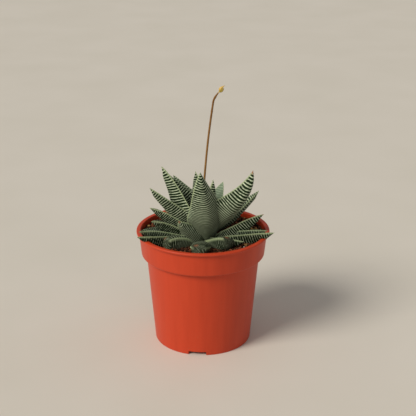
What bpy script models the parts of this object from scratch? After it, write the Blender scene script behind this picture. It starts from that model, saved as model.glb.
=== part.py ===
"""Potted haworthia: a ridge-leaved rosette in a round plastic nursery pot.

The pot stands on the plane z = 0 with its axis on the z axis. The leaves grow from a short
stem that is set in the soil, and a thin flower stalk rises from the top of that stem.
Lengths are written in millimetres and turned into metres by MM.
"""

import math
from typing import NamedTuple

import bmesh
import bpy
from mathutils import Matrix, Vector

MM = 0.001
GAP = 0.3                    # clearance between pieces that touch on the real plant
LEAF_GAP = 0.4               # clearance round a leaf, less at its thin margins

# Pot
POT_HEIGHT = 92.0
LIP_RADIUS = 52.5
LIP_DEPTH = 1.9              # height of the rolled lip
COLLAR_TOP_RADIUS = 50.4
COLLAR_BOTTOM_RADIUS = 48.7
COLLAR_BOTTOM = 72.5         # height where the collar steps in to the wall
STEP_HEIGHT = 1.4
WALL_TOP_RADIUS = 44.7
FOOT_RADIUS = 38.4
WALL = 1.3
FOOT_WALL = 1.8
FLOOR_LIFT = 3.2             # underside of the raised floor
FLOOR = 1.3
BOSS_RADIUS = 11.0           # flat middle of the floor that stands on the ground
BOSS_SLOPE = 3.0
POT_STEPS = 48

NOTCH_WIDTH = 14.0
NOTCH_HEIGHT = 3.0
NOTCH_COUNT = 3
NOTCH_TURN = -96.5           # degrees; the notch nearest the front
DRAIN_RADIUS = 4.0
DRAIN_CIRCLE = 25.0
DRAIN_COUNT = 4

# Soil
SOIL_EDGE = 88.0             # height of the soil at the wall
SOIL_DIP = 84.5              # height of the soil round the stem
SOIL_DIP_RADIUS = 14.0
SOIL_STEPS = 48

# Stem
STEM_BOTTOM = 76.0
STEM_TOP = 98.0
STEM_RADIUS = 5.0
STEM_TOP_RADIUS = 2.4
STEM_STEPS = 24

# Flower stalk and bud
STALK_RADIUS = 0.8
STALK_START = -0.8           # sideways place of the stalk's root
STALK_LEAN = 8.4             # sideways travel up to the bend
STALK_BOW = 2.7              # further travel in the bend
STALK_BEND = 6.5             # height of the bent stretch
STALK_TOP = 201.4
STALK_DEPTH = 1.5            # distance of the stalk behind the pot's axis
STALK_POINTS = 18
BUD_LENGTH = 6.4
BUD_RADIUS = 1.5
BUD_LEAN = 39.0              # degrees from upright

# Leaves
LEAF_ROOT_RADIUS = 4.0       # where a leaf's middle line leaves the stem
LEAF_STATIONS = 9
LEAF_DRAW = 0.36             # how far the end directions reach, as a share of the leaf's span
ROOT_SHARE = 0.42            # width at the root, as a share of the full width
WIDEST = 0.37                # where a leaf is widest, as a share of its length
THICKNESS_SHARE = 0.34       # thickest depth as a share of the leaf's width
TIP_SHARE = 0.03             # width left at a pointed tip
KEEL = 1.45                  # power of the keeled back: 1 is a sharp keel, 2 a round back
KEEL_ROUND = 0.004
CUP = 0.22                   # how far the margins rise, as a share of half the width
BLUNT_TIP_SHARE = 0.85
BLUNT_THICKNESS = 1.5        # how much thicker a blunt leaf is than a pointed one
BLUNT_KEEL = 2.8
BLUNT_SWELL = 0.4            # how far a blunt leaf's inner face bulges, as a share of its depth

# Places across a leaf's section, as shares of half its width
INNER_FACE = (1.0, 0.5, -0.5)
BACK = (-1.0, -0.75, -0.4, 0.0, 0.4, 0.75)

COLLECTION = "potted_haworthia"
CUTTERS = "potted_haworthia_cutters"


class Leaf(NamedTuple):
    """One leaf. Angles are in degrees, lengths in millimetres."""

    name: str
    turn: float              # compass direction of the tip, 0 along +X, -90 to the front
    reach: float             # distance of the tip from the pot's axis
    height: float            # height of the tip
    root: float              # height where the leaf leaves the stem
    sweep: float             # how far the root's direction is turned from the tip's
    climb: float             # slope at the root
    lift: float              # slope at the tip
    width: float
    roll: float = 0.0        # twist about the leaf's own length
    blunt: bool = False      # the end has died back to a blunt stub
    thick: float = 1.0       # thickness beside the other leaves


# Youngest first: each leaf clasps the ones listed before it.
LEAVES = (
    Leaf("leaf_heart", 95, 4, 128, 94, 0, 80, 87, 10),
    Leaf("leaf_inner_left", -170, 6, 140, 92, 10, 75, 76, 20, -14),
    Leaf("leaf_inner_right", -50, 12, 136, 90, 4, 69, 82, 16, 2),
    Leaf("leaf_inner_back", 38, 10, 122, 93, 0, 74, 80, 14),
    Leaf("leaf_back_inner", 125, 17, 118, 93, 0, 70, 74, 17),
    Leaf("leaf_back_upright", 78, 20, 117, 94, 0, 68, 74, 20),
    Leaf("leaf_front_tall", -95, 25, 147, 86, 30, 58, 80, 30, 8),
    Leaf("leaf_left_light", 140, 31, 130, 94, -12, 57, 54, 22, 9),
    Leaf("leaf_back_pale", 55, 28, 123.5, 92, 3, 61, 56, 21),
    Leaf("leaf_left_second", 163, 29.5, 135.5, 95, -10, 58, 67, 25, 9),
    Leaf("leaf_right_tall", -28, 42.5, 147, 90, -13, 61, 80, 27, 29),
    Leaf("leaf_left_tall", -164, 33, 146.5, 90, 0, 53, 52, 27),
    Leaf("leaf_back_tall", 108, 34, 109, 91, 0, 50, 52, 23),
    Leaf("leaf_left_long", -154, 45, 133, 92, -5, 45, 47, 20, -20),
    Leaf("leaf_right_behind", 12, 45, 120.5, 90, 0, 29, 42, 19, -2),
    Leaf("leaf_front_left", -133, 27.4, 106, 79, 6, 42, 50, 24, -40),
    Leaf("leaf_back_dry", 147, 37, 100, 90, 0, 34, 30, 18),
    Leaf("leaf_back_right", 62, 43, 101, 89, 0, 28, 34, 20),
    Leaf("leaf_left_mid", -163, 43, 114, 87, 0, 24, 19, 22, -12),
    Leaf("leaf_right_low", -15, 48.5, 109, 82, -5, 8, 26, 22, 24),
    Leaf("leaf_blunt_front", -94, 37, 91, 81, 0, 14, 20, 15, 0, True, 1.1),
    Leaf("leaf_blunt_right", -54, 32, 92, 80, -6, 12, 20, 15, 28, True, 1.1),
    Leaf("leaf_blunt_left", -140, 36, 91, 80, 14, 12, 2, 15, -22, True, 1.2),
    Leaf("leaf_left_low", -155, 44, 105, 84, -3, 10, 5, 24, -10, False, 1.2),
    Leaf("leaf_back_low_left", 120, 46, 97, 87, 0, 12, 22, 20),
    Leaf("leaf_back_low_right", 88, 48, 97, 87, 0, 10, 24, 21),
    Leaf("leaf_right_rim_rear", -16, 52, 96, 86, 2, 4, 4, 19, 14, False, 1.2),
    Leaf("leaf_left_rim_rear", -159, 53, 96.5, 86, 0, 4, -6, 22, -4, False, 1.1),
    Leaf("leaf_right_rim", -22, 59, 97.5, 84, -6, 6, 14, 20, 17, False, 1.4),
    Leaf("leaf_left_rim", -150, 58, 96.5, 86, 0, 4, 14, 21, -17, False, 1.15),
    Leaf("leaf_right_front_low", -41, 41, 92, 83, -4, 6, 10, 16, 26, False, 1.3),
)


def clear_scene():
    """Remove every object, so the model starts from nothing."""
    for obj in list(bpy.data.objects):
        bpy.data.objects.remove(obj, do_unlink=True)


def new_collection(name):
    """Return a new collection linked to the scene."""
    made = bpy.data.collections.new(name)
    bpy.context.scene.collection.children.link(made)
    return made


def material(name, colour, roughness):
    """Return a plain Principled BSDF material."""
    made = bpy.data.materials.new(name)
    made.use_nodes = True
    shader = made.node_tree.nodes["Principled BSDF"]
    shader.inputs["Base Color"].default_value = (*colour, 1.0)
    shader.inputs["Roughness"].default_value = roughness
    shader.inputs["Metallic"].default_value = 0.0
    return made


def mesh_object(name, mesh, group, finish=None):
    """Put a mesh in a collection as a named object."""
    made = bpy.data.objects.new(name, mesh)
    group.objects.link(made)
    if finish is not None:
        mesh.materials.clear()
        mesh.materials.append(finish)
    return made


def as_cutter(obj):
    """Mark an object as a tool that isn't part of the model."""
    obj.hide_render = True
    obj.display_type = "WIRE"
    return obj


def turned(name, profile, steps, group, finish=None):
    """Turn a profile of (radius, height) points round the z axis.

    The profile is a closed section: it starts and ends on the axis, runs out over the top
    and comes back underneath.
    """
    mesh = bpy.data.meshes.new(name)
    points = [(radius * MM, 0.0, height * MM) for radius, height in profile]
    mesh.from_pydata(points, [(i, i + 1) for i in range(len(points) - 1)], [])
    made = mesh_object(name, mesh, group, finish)
    screw = made.modifiers.new("turn", "SCREW")
    screw.axis = "Z"
    screw.steps = steps
    screw.render_steps = steps
    screw.use_merge_vertices = True
    screw.merge_threshold = 0.00001
    screw.use_smooth_shade = True
    return made


def evaluated_mesh(obj):
    """Return a new mesh of an object as its modifiers leave it."""
    bpy.context.view_layer.update()
    graph = bpy.context.evaluated_depsgraph_get()
    return bpy.data.meshes.new_from_object(obj.evaluated_get(graph), depsgraph=graph)


def apply_modifiers(obj):
    """Give an object the mesh that its modifiers make, and drop the modifiers."""
    mesh = evaluated_mesh(obj)
    obj.modifiers.clear()
    obj.data = mesh
    return obj


def cut(obj, cutter):
    """Subtract one object from another with the exact solver."""
    step = obj.modifiers.new(f"less_{cutter.name}"[:60], "BOOLEAN")
    step.operation = "DIFFERENCE"
    step.solver = "EXACT"
    step.object = cutter


def keep_largest(obj):
    """Remove every loose fragment of a mesh but the one with the most volume."""
    mesh = bmesh.new()
    mesh.from_mesh(obj.data)
    bmesh.ops.remove_doubles(mesh, verts=mesh.verts, dist=0.000005)
    bmesh.ops.dissolve_degenerate(mesh, edges=mesh.edges, dist=0.000005)
    unseen = set(mesh.faces)
    islands = []
    while unseen:
        island = {unseen.pop()}
        front = list(island)
        while front:
            face = front.pop()
            for edge in face.edges:
                for other in edge.link_faces:
                    if other in unseen:
                        unseen.discard(other)
                        island.add(other)
                        front.append(other)
        islands.append(island)
    islands.sort(key=island_volume)
    for island in islands[:-1]:
        bmesh.ops.delete(mesh, geom=list(island), context="FACES")
    loose = [vert for vert in mesh.verts if not vert.link_faces]
    bmesh.ops.delete(mesh, geom=loose, context="VERTS")
    mesh.to_mesh(obj.data)
    mesh.free()
    return obj


def island_volume(faces):
    """Return six times the volume that a set of faces encloses."""
    total = 0.0
    for face in faces:
        first = face.verts[0].co
        for i in range(1, len(face.verts) - 1):
            total += first.dot(face.verts[i].co.cross(face.verts[i + 1].co))
    return total


def radius_at(height):
    """Return the outer radius of the pot's tapered wall at a height."""
    share = height / (COLLAR_BOTTOM - STEP_HEIGHT)
    return FOOT_RADIUS + (WALL_TOP_RADIUS - FOOT_RADIUS) * share


def pot_inside(clearance):
    """Return the inner wall's (radius, height) points from the floor's middle to the collar.

    Args:
        clearance: distance in from the wall and up from the floor, in millimetres.
    """
    boss_top = FLOOR + clearance
    floor_top = FLOOR_LIFT + FLOOR + clearance
    inset = WALL + clearance
    step_top = COLLAR_BOTTOM + WALL
    return [
        (0.0, boss_top),
        (BOSS_RADIUS - clearance, boss_top),
        (BOSS_RADIUS + BOSS_SLOPE - clearance, floor_top),
        (radius_at(floor_top) - FOOT_WALL - clearance, floor_top),
        (WALL_TOP_RADIUS - inset, COLLAR_BOTTOM - STEP_HEIGHT + WALL),
        (COLLAR_BOTTOM_RADIUS - inset, step_top + clearance),
    ]


def pot_profile():
    """Return the pot's section, from the floor's middle over the lip to the underside."""
    lip_inner = COLLAR_TOP_RADIUS - WALL
    lip_bottom = POT_HEIGHT - LIP_DEPTH
    bead = LIP_DEPTH / 2
    inside = pot_inside(0.0)
    lip = [(lip_inner, POT_HEIGHT - 0.5), (lip_inner + 0.5, POT_HEIGHT)]
    for step in range(5):
        angle = math.radians(90 - 45 * step)
        lip.append((
            LIP_RADIUS - bead + bead * math.cos(angle),
            lip_bottom + bead + bead * math.sin(angle),
        ))
    outside = [
        (COLLAR_TOP_RADIUS, lip_bottom),
        (COLLAR_BOTTOM_RADIUS, COLLAR_BOTTOM + 0.8),
        (COLLAR_BOTTOM_RADIUS - 0.8, COLLAR_BOTTOM),
        (WALL_TOP_RADIUS, COLLAR_BOTTOM - STEP_HEIGHT),
        (FOOT_RADIUS, 0.0),
    ]
    underside = [
        (FOOT_RADIUS - FOOT_WALL, 0.0),
        (FOOT_RADIUS - FOOT_WALL, FLOOR_LIFT),
        (BOSS_RADIUS + BOSS_SLOPE, FLOOR_LIFT),
        (BOSS_RADIUS, 0.0),
        (0.0, 0.0),
    ]
    return inside + lip + outside + underside


def build_pot(group, cutters, finish):
    """Make the pot with its foot notches and drain holes."""
    pot = turned("pot", pot_profile(), POT_STEPS, group, finish)
    apply_modifiers(pot)
    pot.data.materials.clear()
    pot.data.materials.append(finish)
    for index in range(NOTCH_COUNT):
        turn = math.radians(NOTCH_TURN + 360 * index / NOTCH_COUNT)
        bpy.ops.mesh.primitive_cube_add(size=1.0)
        notch = bpy.context.object
        notch.name = f"notch_cutter_{index + 1}"
        notch.scale = (8 * MM, NOTCH_WIDTH * MM, 2 * NOTCH_HEIGHT * MM)
        notch.rotation_euler.z = turn
        reach = FOOT_RADIUS * MM
        notch.location = (reach * math.cos(turn), reach * math.sin(turn), 0.0)
        move_to(notch, cutters)
        cut(pot, as_cutter(notch))
    for index in range(DRAIN_COUNT):
        turn = math.radians(NOTCH_TURN + 360 * (index + 0.5) / DRAIN_COUNT)
        bpy.ops.mesh.primitive_cylinder_add(vertices=16, radius=DRAIN_RADIUS * MM, depth=6 * MM)
        drain = bpy.context.object
        drain.name = f"drain_cutter_{index + 1}"
        reach = DRAIN_CIRCLE * MM
        middle = (FLOOR_LIFT + FLOOR / 2) * MM
        drain.location = (reach * math.cos(turn), reach * math.sin(turn), middle)
        move_to(drain, cutters)
        cut(pot, as_cutter(drain))
    return pot


def move_to(obj, group):
    """Link an object to one collection only."""
    for old in list(obj.users_collection):
        old.objects.unlink(obj)
    group.objects.link(obj)


def soil_top(raise_by):
    """Return the soil's upper surface as (radius, height) points, from the wall inwards."""
    inner = COLLAR_TOP_RADIUS - WALL - GAP - 0.4
    middle = (inner + SOIL_DIP_RADIUS) / 2
    return [
        (inner, SOIL_EDGE + raise_by),
        (middle, (SOIL_EDGE + SOIL_DIP) / 2 + 0.4 + raise_by),
        (SOIL_DIP_RADIUS, SOIL_DIP + raise_by),
    ]


def bed_profile():
    """Return the section that leaves keep clear of: the soil and the pot's lip."""
    brim = POT_HEIGHT + GAP
    bed = [(0.0, SOIL_DIP + GAP)] + list(reversed(soil_top(GAP)))
    lip = [
        (COLLAR_TOP_RADIUS - WALL - GAP, brim),
        (LIP_RADIUS + GAP, brim),
        (LIP_RADIUS + GAP, COLLAR_BOTTOM),
        (0.0, COLLAR_BOTTOM),
    ]
    return bed + lip


def build_soil(group, cutters, finish):
    """Make the soil plug, with a socket for the stem."""
    top = soil_top(0.0)
    top.reverse()
    bottom = pot_inside(GAP)
    bottom.reverse()
    profile = [(0.0, SOIL_DIP)] + top + bottom
    soil = turned("soil", profile, SOIL_STEPS, group, finish)
    apply_modifiers(soil)
    soil.data.materials.clear()
    soil.data.materials.append(finish)
    bpy.ops.mesh.primitive_cylinder_add(
        vertices=STEM_STEPS,
        radius=(STEM_RADIUS + GAP + 0.1) * MM,
        depth=30 * MM,
    )
    socket = bpy.context.object
    socket.name = "stem_socket_cutter"
    socket.location.z = (STEM_BOTTOM - GAP + 15) * MM
    move_to(socket, cutters)
    cut(soil, as_cutter(socket))
    return soil


def stem_profile(grow):
    """Return the stem's section grown by a clearance, from its top to its bottom."""
    return [
        (0.0, STEM_TOP + grow),
        (STEM_TOP_RADIUS + grow, STEM_TOP + grow),
        (STEM_RADIUS * 0.8 + grow, STEM_TOP - 6.0),
        (STEM_RADIUS + grow, STEM_TOP - 12.0),
        (STEM_RADIUS + grow, STEM_BOTTOM + 2.0),
        (STEM_RADIUS - 2.0 + grow, STEM_BOTTOM - grow),
        (0.0, STEM_BOTTOM - grow),
    ]


def stalk_route():
    """Return the flower stalk's middle line: nearly straight, then bowed over at the top."""
    start = STEM_TOP + GAP + 0.05
    bend_height = STALK_TOP - STALK_BEND
    points = []
    for index in range(STALK_POINTS):
        share = index / (STALK_POINTS - 1)
        height = start + (STALK_TOP - start) * share
        rise = (height - start) / (bend_height - start)
        over = max(0.0, (height - bend_height) / STALK_BEND)
        lean = STALK_LEAN * rise * (0.35 + 0.65 * rise) + STALK_BOW * over ** 1.5
        depth = STALK_DEPTH * min(1.0, share * 4)
        points.append(Vector((STALK_START + lean, depth, height)))
    return points


def build_stalk(name, radius, group, finish=None):
    """Make the flower stalk as a round bevelled curve of a given radius."""
    curve = bpy.data.curves.new("flower_stalk_route", "CURVE")
    curve.dimensions = "3D"
    curve.bevel_depth = radius * MM
    curve.bevel_resolution = 2
    curve.use_fill_caps = True
    route = stalk_route()
    spline = curve.splines.new("POLY")
    spline.points.add(len(route) - 1)
    for point, place in zip(spline.points, route):
        point.co = (*(place * MM), 1.0)
    guide = bpy.data.objects.new("flower_stalk_guide", curve)
    group.objects.link(guide)
    mesh = evaluated_mesh(guide)
    bpy.data.objects.remove(guide, do_unlink=True)
    weld(mesh)
    return mesh_object(name, mesh, group, finish)


def weld(mesh):
    """Join the loose end caps of a curve's mesh to its wall and face it outwards."""
    work = bmesh.new()
    work.from_mesh(mesh)
    bmesh.ops.remove_doubles(work, verts=work.verts, dist=0.00001)
    bmesh.ops.recalc_face_normals(work, faces=work.faces)
    work.to_mesh(mesh)
    work.free()


def build_bud(group, finish):
    """Make the dried bud: a spindle that carries on from the stalk's end."""
    work = bmesh.new()
    bmesh.ops.create_uvsphere(work, u_segments=12, v_segments=8, radius=1.0)
    for vert in work.verts:
        taper = 1.0 - 0.25 * vert.co.z
        vert.co.x *= BUD_RADIUS * taper
        vert.co.y *= BUD_RADIUS * taper
        vert.co.z *= BUD_LENGTH / 2
    lean = math.radians(BUD_LEAN)
    direction = Vector((math.sin(lean), 0.0, math.cos(lean)))
    end = stalk_route()[-1]
    middle = end + direction * (BUD_LENGTH / 2 + GAP)
    place = Matrix.Translation(middle * MM) @ Matrix.Rotation(lean, 4, "Y") @ Matrix.Scale(MM, 4)
    bmesh.ops.transform(work, matrix=place, verts=work.verts)
    mesh = bpy.data.meshes.new("flower_bud")
    work.to_mesh(mesh)
    work.free()
    return mesh_object("flower_bud", mesh, group, finish)


def heading(turn, slope):
    """Return the unit direction with a compass turn and a slope, both in degrees."""
    turn = math.radians(turn)
    slope = math.radians(slope)
    flat = math.cos(slope)
    return Vector((flat * math.cos(turn), flat * math.sin(turn), math.sin(slope)))


def leaf_line(leaf, share):
    """Return a point on a leaf's middle line and the direction there.

    The line is a cubic curve from the stem to the tip, set by its slope at both ends.
    """
    base_turn = leaf.turn + leaf.sweep
    start = heading(base_turn, 0.0) * LEAF_ROOT_RADIUS + Vector((0.0, 0.0, leaf.root))
    end = heading(leaf.turn, 0.0) * leaf.reach + Vector((0.0, 0.0, leaf.height))
    draw = (end - start).length * LEAF_DRAW
    first = start + heading(base_turn, leaf.climb) * draw
    second = end - heading(leaf.turn, leaf.lift) * draw
    back = 1.0 - share
    point = (
        start * back ** 3
        + first * (3 * back * back * share)
        + second * (3 * back * share * share)
        + end * share ** 3
    )
    along = (
        (first - start) * (back * back)
        + (second - first) * (2 * back * share)
        + (end - second) * (share * share)
    )
    return point, along.normalized()


def leaf_width(leaf, share):
    """Return a leaf's width at a share of its length, as a part of its full width."""
    if share < WIDEST:
        return ROOT_SHARE + (1.0 - ROOT_SHARE) * math.sin(share / WIDEST * math.pi / 2)
    run = (share - WIDEST) / (1.0 - WIDEST)
    if leaf.blunt:
        return 1.0 - (1.0 - BLUNT_TIP_SHARE) * run ** 5
    pointed = (1.0 - run ** 1.45) * (1.0 - 0.12 * math.sin(math.pi * run))
    return max(pointed, TIP_SHARE)


def leaf_depth(leaf, share):
    """Return a leaf's thickness at a share of its length, in millimetres."""
    full = leaf.width * THICKNESS_SHARE * leaf.thick
    if leaf.blunt:
        return full * BLUNT_THICKNESS * (1.0 - 0.15 * share ** 6)
    end = min(1.0, (1.0 - share) / 0.12) ** 0.7
    return max(full * (0.3 + 0.7 * leaf_width(leaf, share)) * end, 0.5)


def leaf_section(leaf, half, depth, grow):
    """Return a leaf's section as (sideways, upward) places in millimetres.

    The inner face is nearly flat between its raised margins; the back is deep and keeled.

    Args:
        leaf: the leaf's sizes.
        half: half the width there.
        depth: the thickness there.
        grow: clearance added above the inner face.
    """
    cup = 0.0 if leaf.blunt else CUP * half
    keel = BLUNT_KEEL if leaf.blunt else KEEL
    places = []
    for across in INNER_FACE:
        free = 1.0 - across * across
        swell = 0.13 * math.sqrt(free) - 0.10 * free * free
        if leaf.blunt:
            swell = BLUNT_SWELL * math.sqrt(free)
        lifted = grow if free > 0 else 0.0
        places.append((across * half, cup * across * across + swell * depth + lifted))
    for across in BACK:
        blunted = (abs(across) ** 3 + KEEL_ROUND) ** (keel / 3)
        fallen = max(0.0, 1.0 - blunted) ** 0.9
        places.append((across * half, cup * across * across - fallen * depth))
    return places


def leaf_mesh(leaf, grow):
    """Loft a leaf between its stations.

    Args:
        leaf: the leaf's sizes.
        grow: clearance added all round the section, in millimetres.
    """
    base_turn = math.radians(leaf.turn + leaf.sweep)
    across = Vector((math.sin(base_turn), -math.cos(base_turn), 0.0))
    roll = math.radians(leaf.roll)
    work = bmesh.new()
    rings = []
    for index in range(LEAF_STATIONS):
        share = index / (LEAF_STATIONS - 1)
        point, along = leaf_line(leaf, share)
        if index == 0:
            point = point - along * grow
        if index == LEAF_STATIONS - 1:
            point = point + along * grow
        side = (across - along * along.dot(across)).normalized()
        up = side.cross(along)
        side, up = (
            side * math.cos(roll) + up * math.sin(roll),
            up * math.cos(roll) - side * math.sin(roll),
        )
        half = leaf_width(leaf, share) * leaf.width / 2 + grow
        depth = leaf_depth(leaf, share) + grow
        ring = []
        for sideways, upward in leaf_section(leaf, half, depth, grow):
            ring.append(work.verts.new((point + side * sideways + up * upward) * MM))
        rings.append(ring)
    count = len(rings[0])
    for lower, upper in zip(rings, rings[1:]):
        for i in range(count):
            j = (i + 1) % count
            work.faces.new((lower[i], lower[j], upper[j], upper[i]))
    work.faces.new(list(reversed(rings[0])))
    work.faces.new(rings[-1])
    bmesh.ops.triangulate(work, faces=work.faces)
    bmesh.ops.recalc_face_normals(work, faces=work.faces)
    mesh = bpy.data.meshes.new(leaf.name)
    work.to_mesh(mesh)
    work.free()
    return mesh


def boxes_meet(first, second):
    """Say whether the bounding boxes of two meshes overlap."""
    for axis in range(3):
        low_a = min(vert.co[axis] for vert in first.vertices)
        high_a = max(vert.co[axis] for vert in first.vertices)
        low_b = min(vert.co[axis] for vert in second.vertices)
        high_b = max(vert.co[axis] for vert in second.vertices)
        if high_a < low_b or high_b < low_a:
            return False
    return True


def build_leaves(group, cutters, finish, clearers):
    """Make every leaf, each cut back where it clasps the stem, soil, stalk or a younger leaf."""
    grown = list(clearers)
    for leaf in LEAVES:
        made = mesh_object(leaf.name, leaf_mesh(leaf, 0.0), group)
        for cutter in grown:
            if boxes_meet(made.data, cutter.data):
                cut(made, cutter)
        if made.modifiers:
            apply_modifiers(made)
            keep_largest(made)
        made.data.materials.clear()
        made.data.materials.append(finish)
        tool = mesh_object(f"{leaf.name}_cutter", leaf_mesh(leaf, LEAF_GAP), cutters)
        grown.append(as_cutter(tool))


def main():
    """Build the whole plant in its pot."""
    clear_scene()
    group = new_collection(COLLECTION)
    cutters = new_collection(CUTTERS)
    plastic = material("terracotta_plastic", (0.50, 0.07, 0.03), 0.45)
    peat = material("peat_soil", (0.05, 0.02, 0.01), 0.95)
    green = material("ridged_leaf", (0.10, 0.17, 0.07), 0.5)
    straw = material("dry_stalk", (0.30, 0.15, 0.05), 0.6)
    bract = material("dry_bud", (0.60, 0.45, 0.15), 0.6)

    build_pot(group, cutters, plastic)
    build_soil(group, cutters, peat)
    turned("crown_stem", stem_profile(0.0), STEM_STEPS, group, green)
    build_stalk("flower_stalk", STALK_RADIUS, group, straw)
    build_bud(group, bract)

    clearers = (
        turned("stem_clearance", stem_profile(GAP), STEM_STEPS, cutters),
        turned("bed_clearance", bed_profile(), SOIL_STEPS, cutters),
        build_stalk("stalk_clearance", STALK_RADIUS + GAP, cutters),
    )
    for tool in clearers:
        apply_modifiers(as_cutter(tool))
    build_leaves(group, cutters, green, clearers)


main()
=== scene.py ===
"""Looks of a potted haworthia: a ridge-leaved rosette in a round nursery pot.

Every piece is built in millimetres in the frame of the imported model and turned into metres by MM.
The pot stands on the plane z = 0 with its axis on the z axis.
"""

import logging
import math
from dataclasses import dataclass
from enum import Enum
from typing import Mapping, Optional, Sequence

import bpy
import numpy as np
from mathutils import Matrix, Vector


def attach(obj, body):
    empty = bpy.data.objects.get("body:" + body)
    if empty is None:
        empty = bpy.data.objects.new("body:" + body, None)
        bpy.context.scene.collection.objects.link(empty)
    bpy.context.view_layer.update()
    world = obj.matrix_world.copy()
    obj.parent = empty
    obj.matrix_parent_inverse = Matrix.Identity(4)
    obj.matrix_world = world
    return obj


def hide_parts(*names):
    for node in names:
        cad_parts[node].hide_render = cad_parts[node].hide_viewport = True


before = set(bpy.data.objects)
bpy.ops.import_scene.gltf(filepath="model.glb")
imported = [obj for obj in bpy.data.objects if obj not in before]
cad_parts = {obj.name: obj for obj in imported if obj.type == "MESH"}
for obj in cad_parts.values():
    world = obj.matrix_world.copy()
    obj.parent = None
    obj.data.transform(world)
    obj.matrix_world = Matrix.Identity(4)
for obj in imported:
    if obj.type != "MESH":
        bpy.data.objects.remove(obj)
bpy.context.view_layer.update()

MM = 0.001
BODY = "root"
LOG = logging.getLogger("potted_haworthia")

# A node's input may be a plain value, another node's socket, or a node whose first output is meant.
Wire = object


class Slot(Enum):
    """The material slots that the pieces' finishes belong to."""

    POT = "terracotta_plastic"
    PEAT = "peat_soil"
    STEM = "stem_tissue"
    LEAF = "ridged_leaf"
    STALK = "dry_stalk"
    BUD = "dry_bud"


class Tip(Enum):
    """How a leaf ends."""

    POINTED = "pointed"
    BLUNT = "blunt"


# ---------------------------------------------------------------------------------------------
# Colour and nodes


def linear(code: str) -> tuple[float, float, float, float]:
    """Turn an sRGB hex colour into linear red, green, blue and alpha.

    Args:
        code: a colour such as "#C4502D".

    Returns:
        Four numbers from 0 to 1.
    """
    parts = [int(code[i:i + 2], 16) / 255 for i in (1, 3, 5)]
    low = [part / 12.92 if part <= 0.04045 else ((part + 0.055) / 1.055) ** 2.4 for part in parts]
    return (low[0], low[1], low[2], 1.0)


def socket_of(sockets: bpy.types.bpy_prop_collection, key: object) -> bpy.types.NodeSocket:
    """Find a socket by its index, or by its name among those in use.

    Args:
        sockets: a node's inputs or outputs.
        key: an index or a name.

    Returns:
        The socket.
    """
    if isinstance(key, int):
        return sockets[key]
    return next(item for item in sockets if item.name == key and item.enabled)


def add(
    tree: bpy.types.NodeTree,
    kind: str,
    wires: Optional[Mapping[object, Wire]] = None,
    stops: Sequence[tuple[float, str]] = (),
    **settings: object,
) -> bpy.types.NodeSocket:
    """Add a node with its settings, values and links.

    Args:
        tree: the tree that the node goes in.
        kind: the node's type name.
        wires: for each input, by name or index, a plain value or the socket that feeds it.
        stops: the places and hex colours of a colour ramp.
        settings: the node's own properties.

    Returns:
        The node's first output in use.
    """
    node = tree.nodes.new(kind)
    for name, value in settings.items():
        setattr(node, name, value)
    for key, value in (wires or {}).items():
        goal = socket_of(node.inputs, key)
        if isinstance(value, bpy.types.NodeSocket):
            tree.links.new(value, goal)
        else:
            goal.default_value = value
    if stops:
        ramp = node.color_ramp.elements
        while len(ramp) < len(stops):
            ramp.new(0.5)
        for element, (place, code) in zip(ramp, stops):
            element.position = place
            element.color = linear(code)
    return next((item for item in node.outputs if item.enabled), None)


def finish_tree(
    name: str,
    sockets: Mapping[str, object],
) -> tuple[bpy.types.Material, bpy.types.Node]:
    """Start a material, with the even values of its shader set on the shader's own sockets.

    Args:
        name: the material's name.
        sockets: values of the Principled BSDF's inputs.

    Returns:
        The material and its shader node.
    """
    made = bpy.data.materials.new(name)
    made.use_nodes = True
    shader = made.node_tree.nodes["Principled BSDF"]
    for key, value in sockets.items():
        shader.inputs[key].default_value = value
    return made, shader


def dress(
    made: bpy.types.Material,
    shader: bpy.types.Node,
    colour: bpy.types.NodeSocket,
    rough: bpy.types.NodeSocket,
    relief: bpy.types.NodeSocket,
    depth: float,
) -> bpy.types.Material:
    """Link a finish's colour, roughness and relief to its shader.

    Args:
        made: the material.
        shader: its Principled BSDF.
        colour: the colour all over the surface.
        rough: the roughness all over the surface.
        relief: a height from 0 to 1.
        depth: the height of the relief, in millimetres.

    Returns:
        The material.
    """
    tree = made.node_tree
    bump = add(tree, "ShaderNodeBump", {"Height": relief, "Strength": 1.0, "Distance": depth * MM})
    tree.links.new(colour, shader.inputs["Base Color"])
    tree.links.new(rough, shader.inputs["Roughness"])
    tree.links.new(bump, shader.inputs["Normal"])
    return made


def grain(
    tree: bpy.types.NodeTree,
    size: float,
    detail: float = 3.0,
    drawn: float = 1.0,
) -> bpy.types.NodeSocket:
    """Add noise on object coordinates whose blotches are about a real size across.

    Args:
        tree: the material's tree.
        size: the blotches' size in millimetres.
        detail: how many finer layers there are.
        drawn: how much shorter a blotch counts along z, so that it looks drawn out upwards.

    Returns:
        The noise's value.
    """
    place = socket_of(tree.nodes.new("ShaderNodeTexCoord").outputs, "Object")
    if drawn != 1.0:
        place = add(tree, "ShaderNodeMapping", {"Vector": place, "Scale": (1.0, 1.0, drawn)})
    wires = {"Vector": place, "Scale": 1.0 / (size * MM), "Detail": detail}
    return add(tree, "ShaderNodeTexNoise", wires)


# ---------------------------------------------------------------------------------------------
# Finishes


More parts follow.
